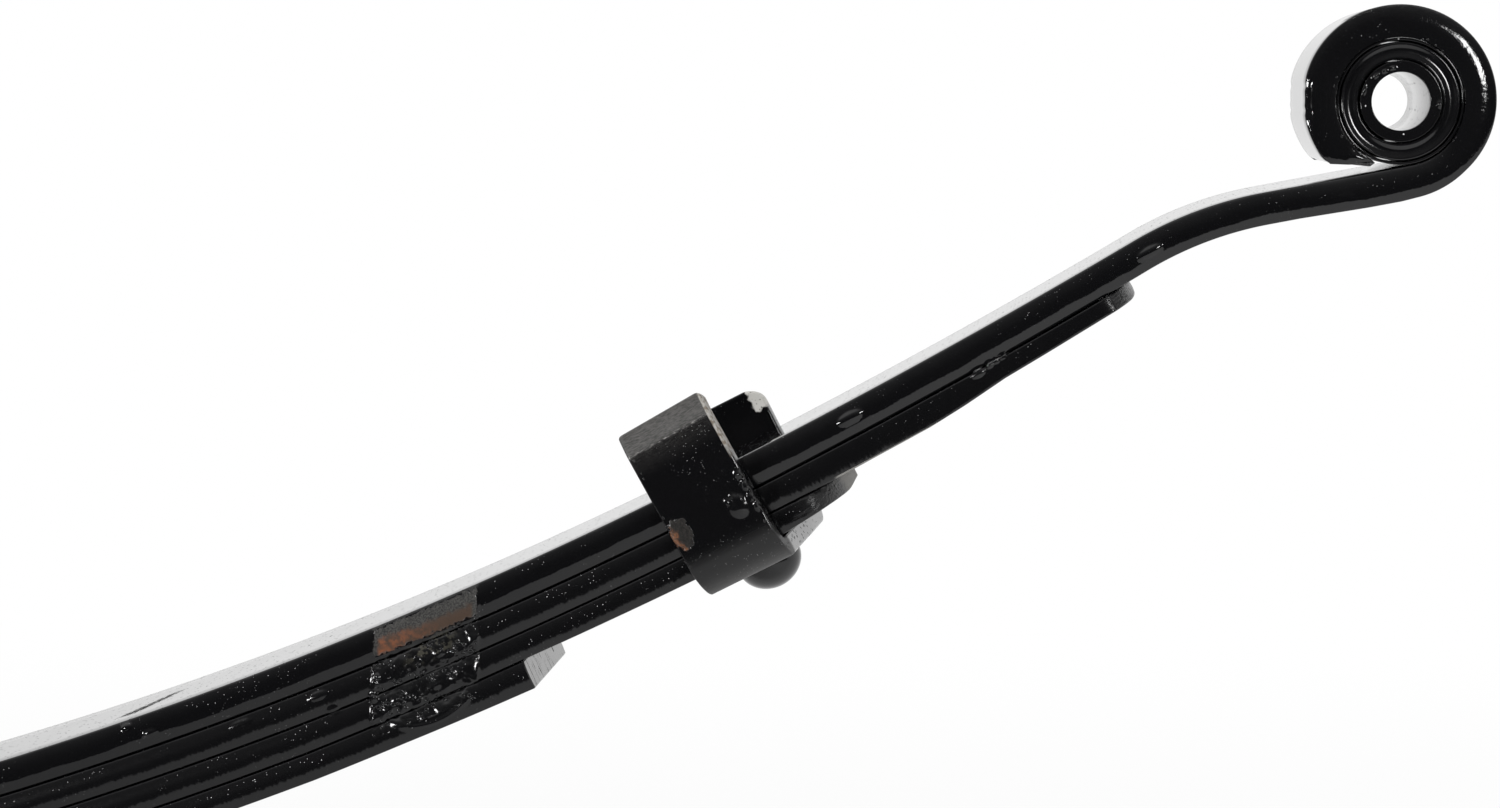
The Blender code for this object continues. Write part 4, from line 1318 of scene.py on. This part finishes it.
def floor_material():
    """White floor that keeps the shadow near the object and meets the background further off."""
    material = new_material("floor")
    tree = material.node_tree
    principled = tree.nodes["Principled BSDF"]
    feed(principled.inputs["Base Color"], FLOOR_COLOUR)
    feed(principled.inputs["Roughness"], 1.0)
    x, y, _ = position(tree)
    path = add_node(tree, "LightPath").socket.node
    kinds = ("Camera", "Glossy", "Transmission")
    camera, glossy, through = (Value(path.outputs[f"Is {kind} Ray"]) for kind in kinds)
    # In reflections in front of the spring the floor glows, dimmer towards -X and brighter towards +X:
    # painted light that only reflections see
    dimmer = x.node("MapRange", {"Value": x, **FLOOR_DIMMING})
    in_front = glossy * y.step(0.0, -0.05)
    glow = x.node("Emission", {"Strength": in_front.blend(1.0, dimmer)})
    plain = (camera | glossy | through) * (abs(y).step(0.1, 0.9) * 0.4 + 0.6)
    set_surface(tree, x.node("MixShader", {0: plain, 1: Value(principled.outputs[0]), 2: glow}))
    return material


def card_material():
    """Dim front of the studio, lighter towards the ceiling. Only reflections see it."""
    material = new_material("dim_card")
    tree = material.node_tree
    brightness = add_node(tree, "ValToRGB", {0: position(tree)[2] * (1 / CARD_TOP)})
    elements = brightness.socket.node.color_ramp.elements
    for share, _ in CARD_STOPS[1:-1]:
        elements.new(share)
    for element, (share, value) in zip(elements, CARD_STOPS):
        element.position = share
        element.color = (value, value, value, 1.0)
    set_surface(tree, add_node(tree, "Emission", {"Color": brightness}))
    return material


def make_stage():
    far = FLOOR_REACH
    corners = [(x, y, FLOOR_Z) for x, y in ((-far, -far), (far, -far), (far, far), (-far, far))]
    add_stage("floor", corners, floor_material())
    card = card_material()
    low = FLOOR_Z + 0.001
    wide = CARD_REACH
    back = [(-wide, CARD_Y, low), (wide, CARD_Y, low)]
    for name, front in (
        ("card_low", [(x, y, low) for x, y in CARD_EDGE]),
        ("card_high", [(wide, CARD_Y, CARD_TOP), (-wide, CARD_Y, CARD_TOP)]),
    ):
        sheet = add_stage(name, back + front, card)
        for ray in ("camera", "diffuse", "shadow", "transmission"):
            setattr(sheet, f"visible_{ray}", False)


def facing(direction):
    return Vector(direction).to_track_quat("-Z", "Y").to_euler()


def make_lights():
    """White surroundings, and two lamps that look at the eye."""
    world = bpy.data.worlds.new("studio")
    bpy.context.scene.world = world
    world.use_nodes = True
    background = world.node_tree.nodes["Background"]
    feed(background.inputs["Color"], (1.0, 1.0, 1.0))
    feed(background.inputs["Strength"], 1.0)
    for name, (place, size, power) in LAMPS.items():
        lamp = bpy.data.lights.new(name, "AREA")
        lamp.shape = "RECTANGLE"
        lamp.size, lamp.size_y = size
        lamp.energy = power
        light = link_object(name, lamp)
        light.location = place
        light.visible_camera = False
        light.rotation_euler = facing(Vector((EYE_X, 0.0, EYE_Z)) - Vector(place))


def add_camera():
    data = bpy.data.cameras.new("photo_camera")
    data.lens = CAMERA_LENS
    data.sensor_width = SENSOR_WIDTH
    camera = link_object("photo_camera", data)
    camera.location = CAMERA_PLACE
    camera.rotation_euler = facing(CAMERA_FORWARD)
    bpy.context.scene.camera = camera


add_camera()
make_stage()
make_lights()
make_leaves(leaf_paint())
make_ends({"clip_paint": clip_paint(), "bush_paint": bush_paint(), "rubber": rubber()})
make_fasteners(plated_steel())
bpy.context.scene.view_settings.view_transform = "Standard"
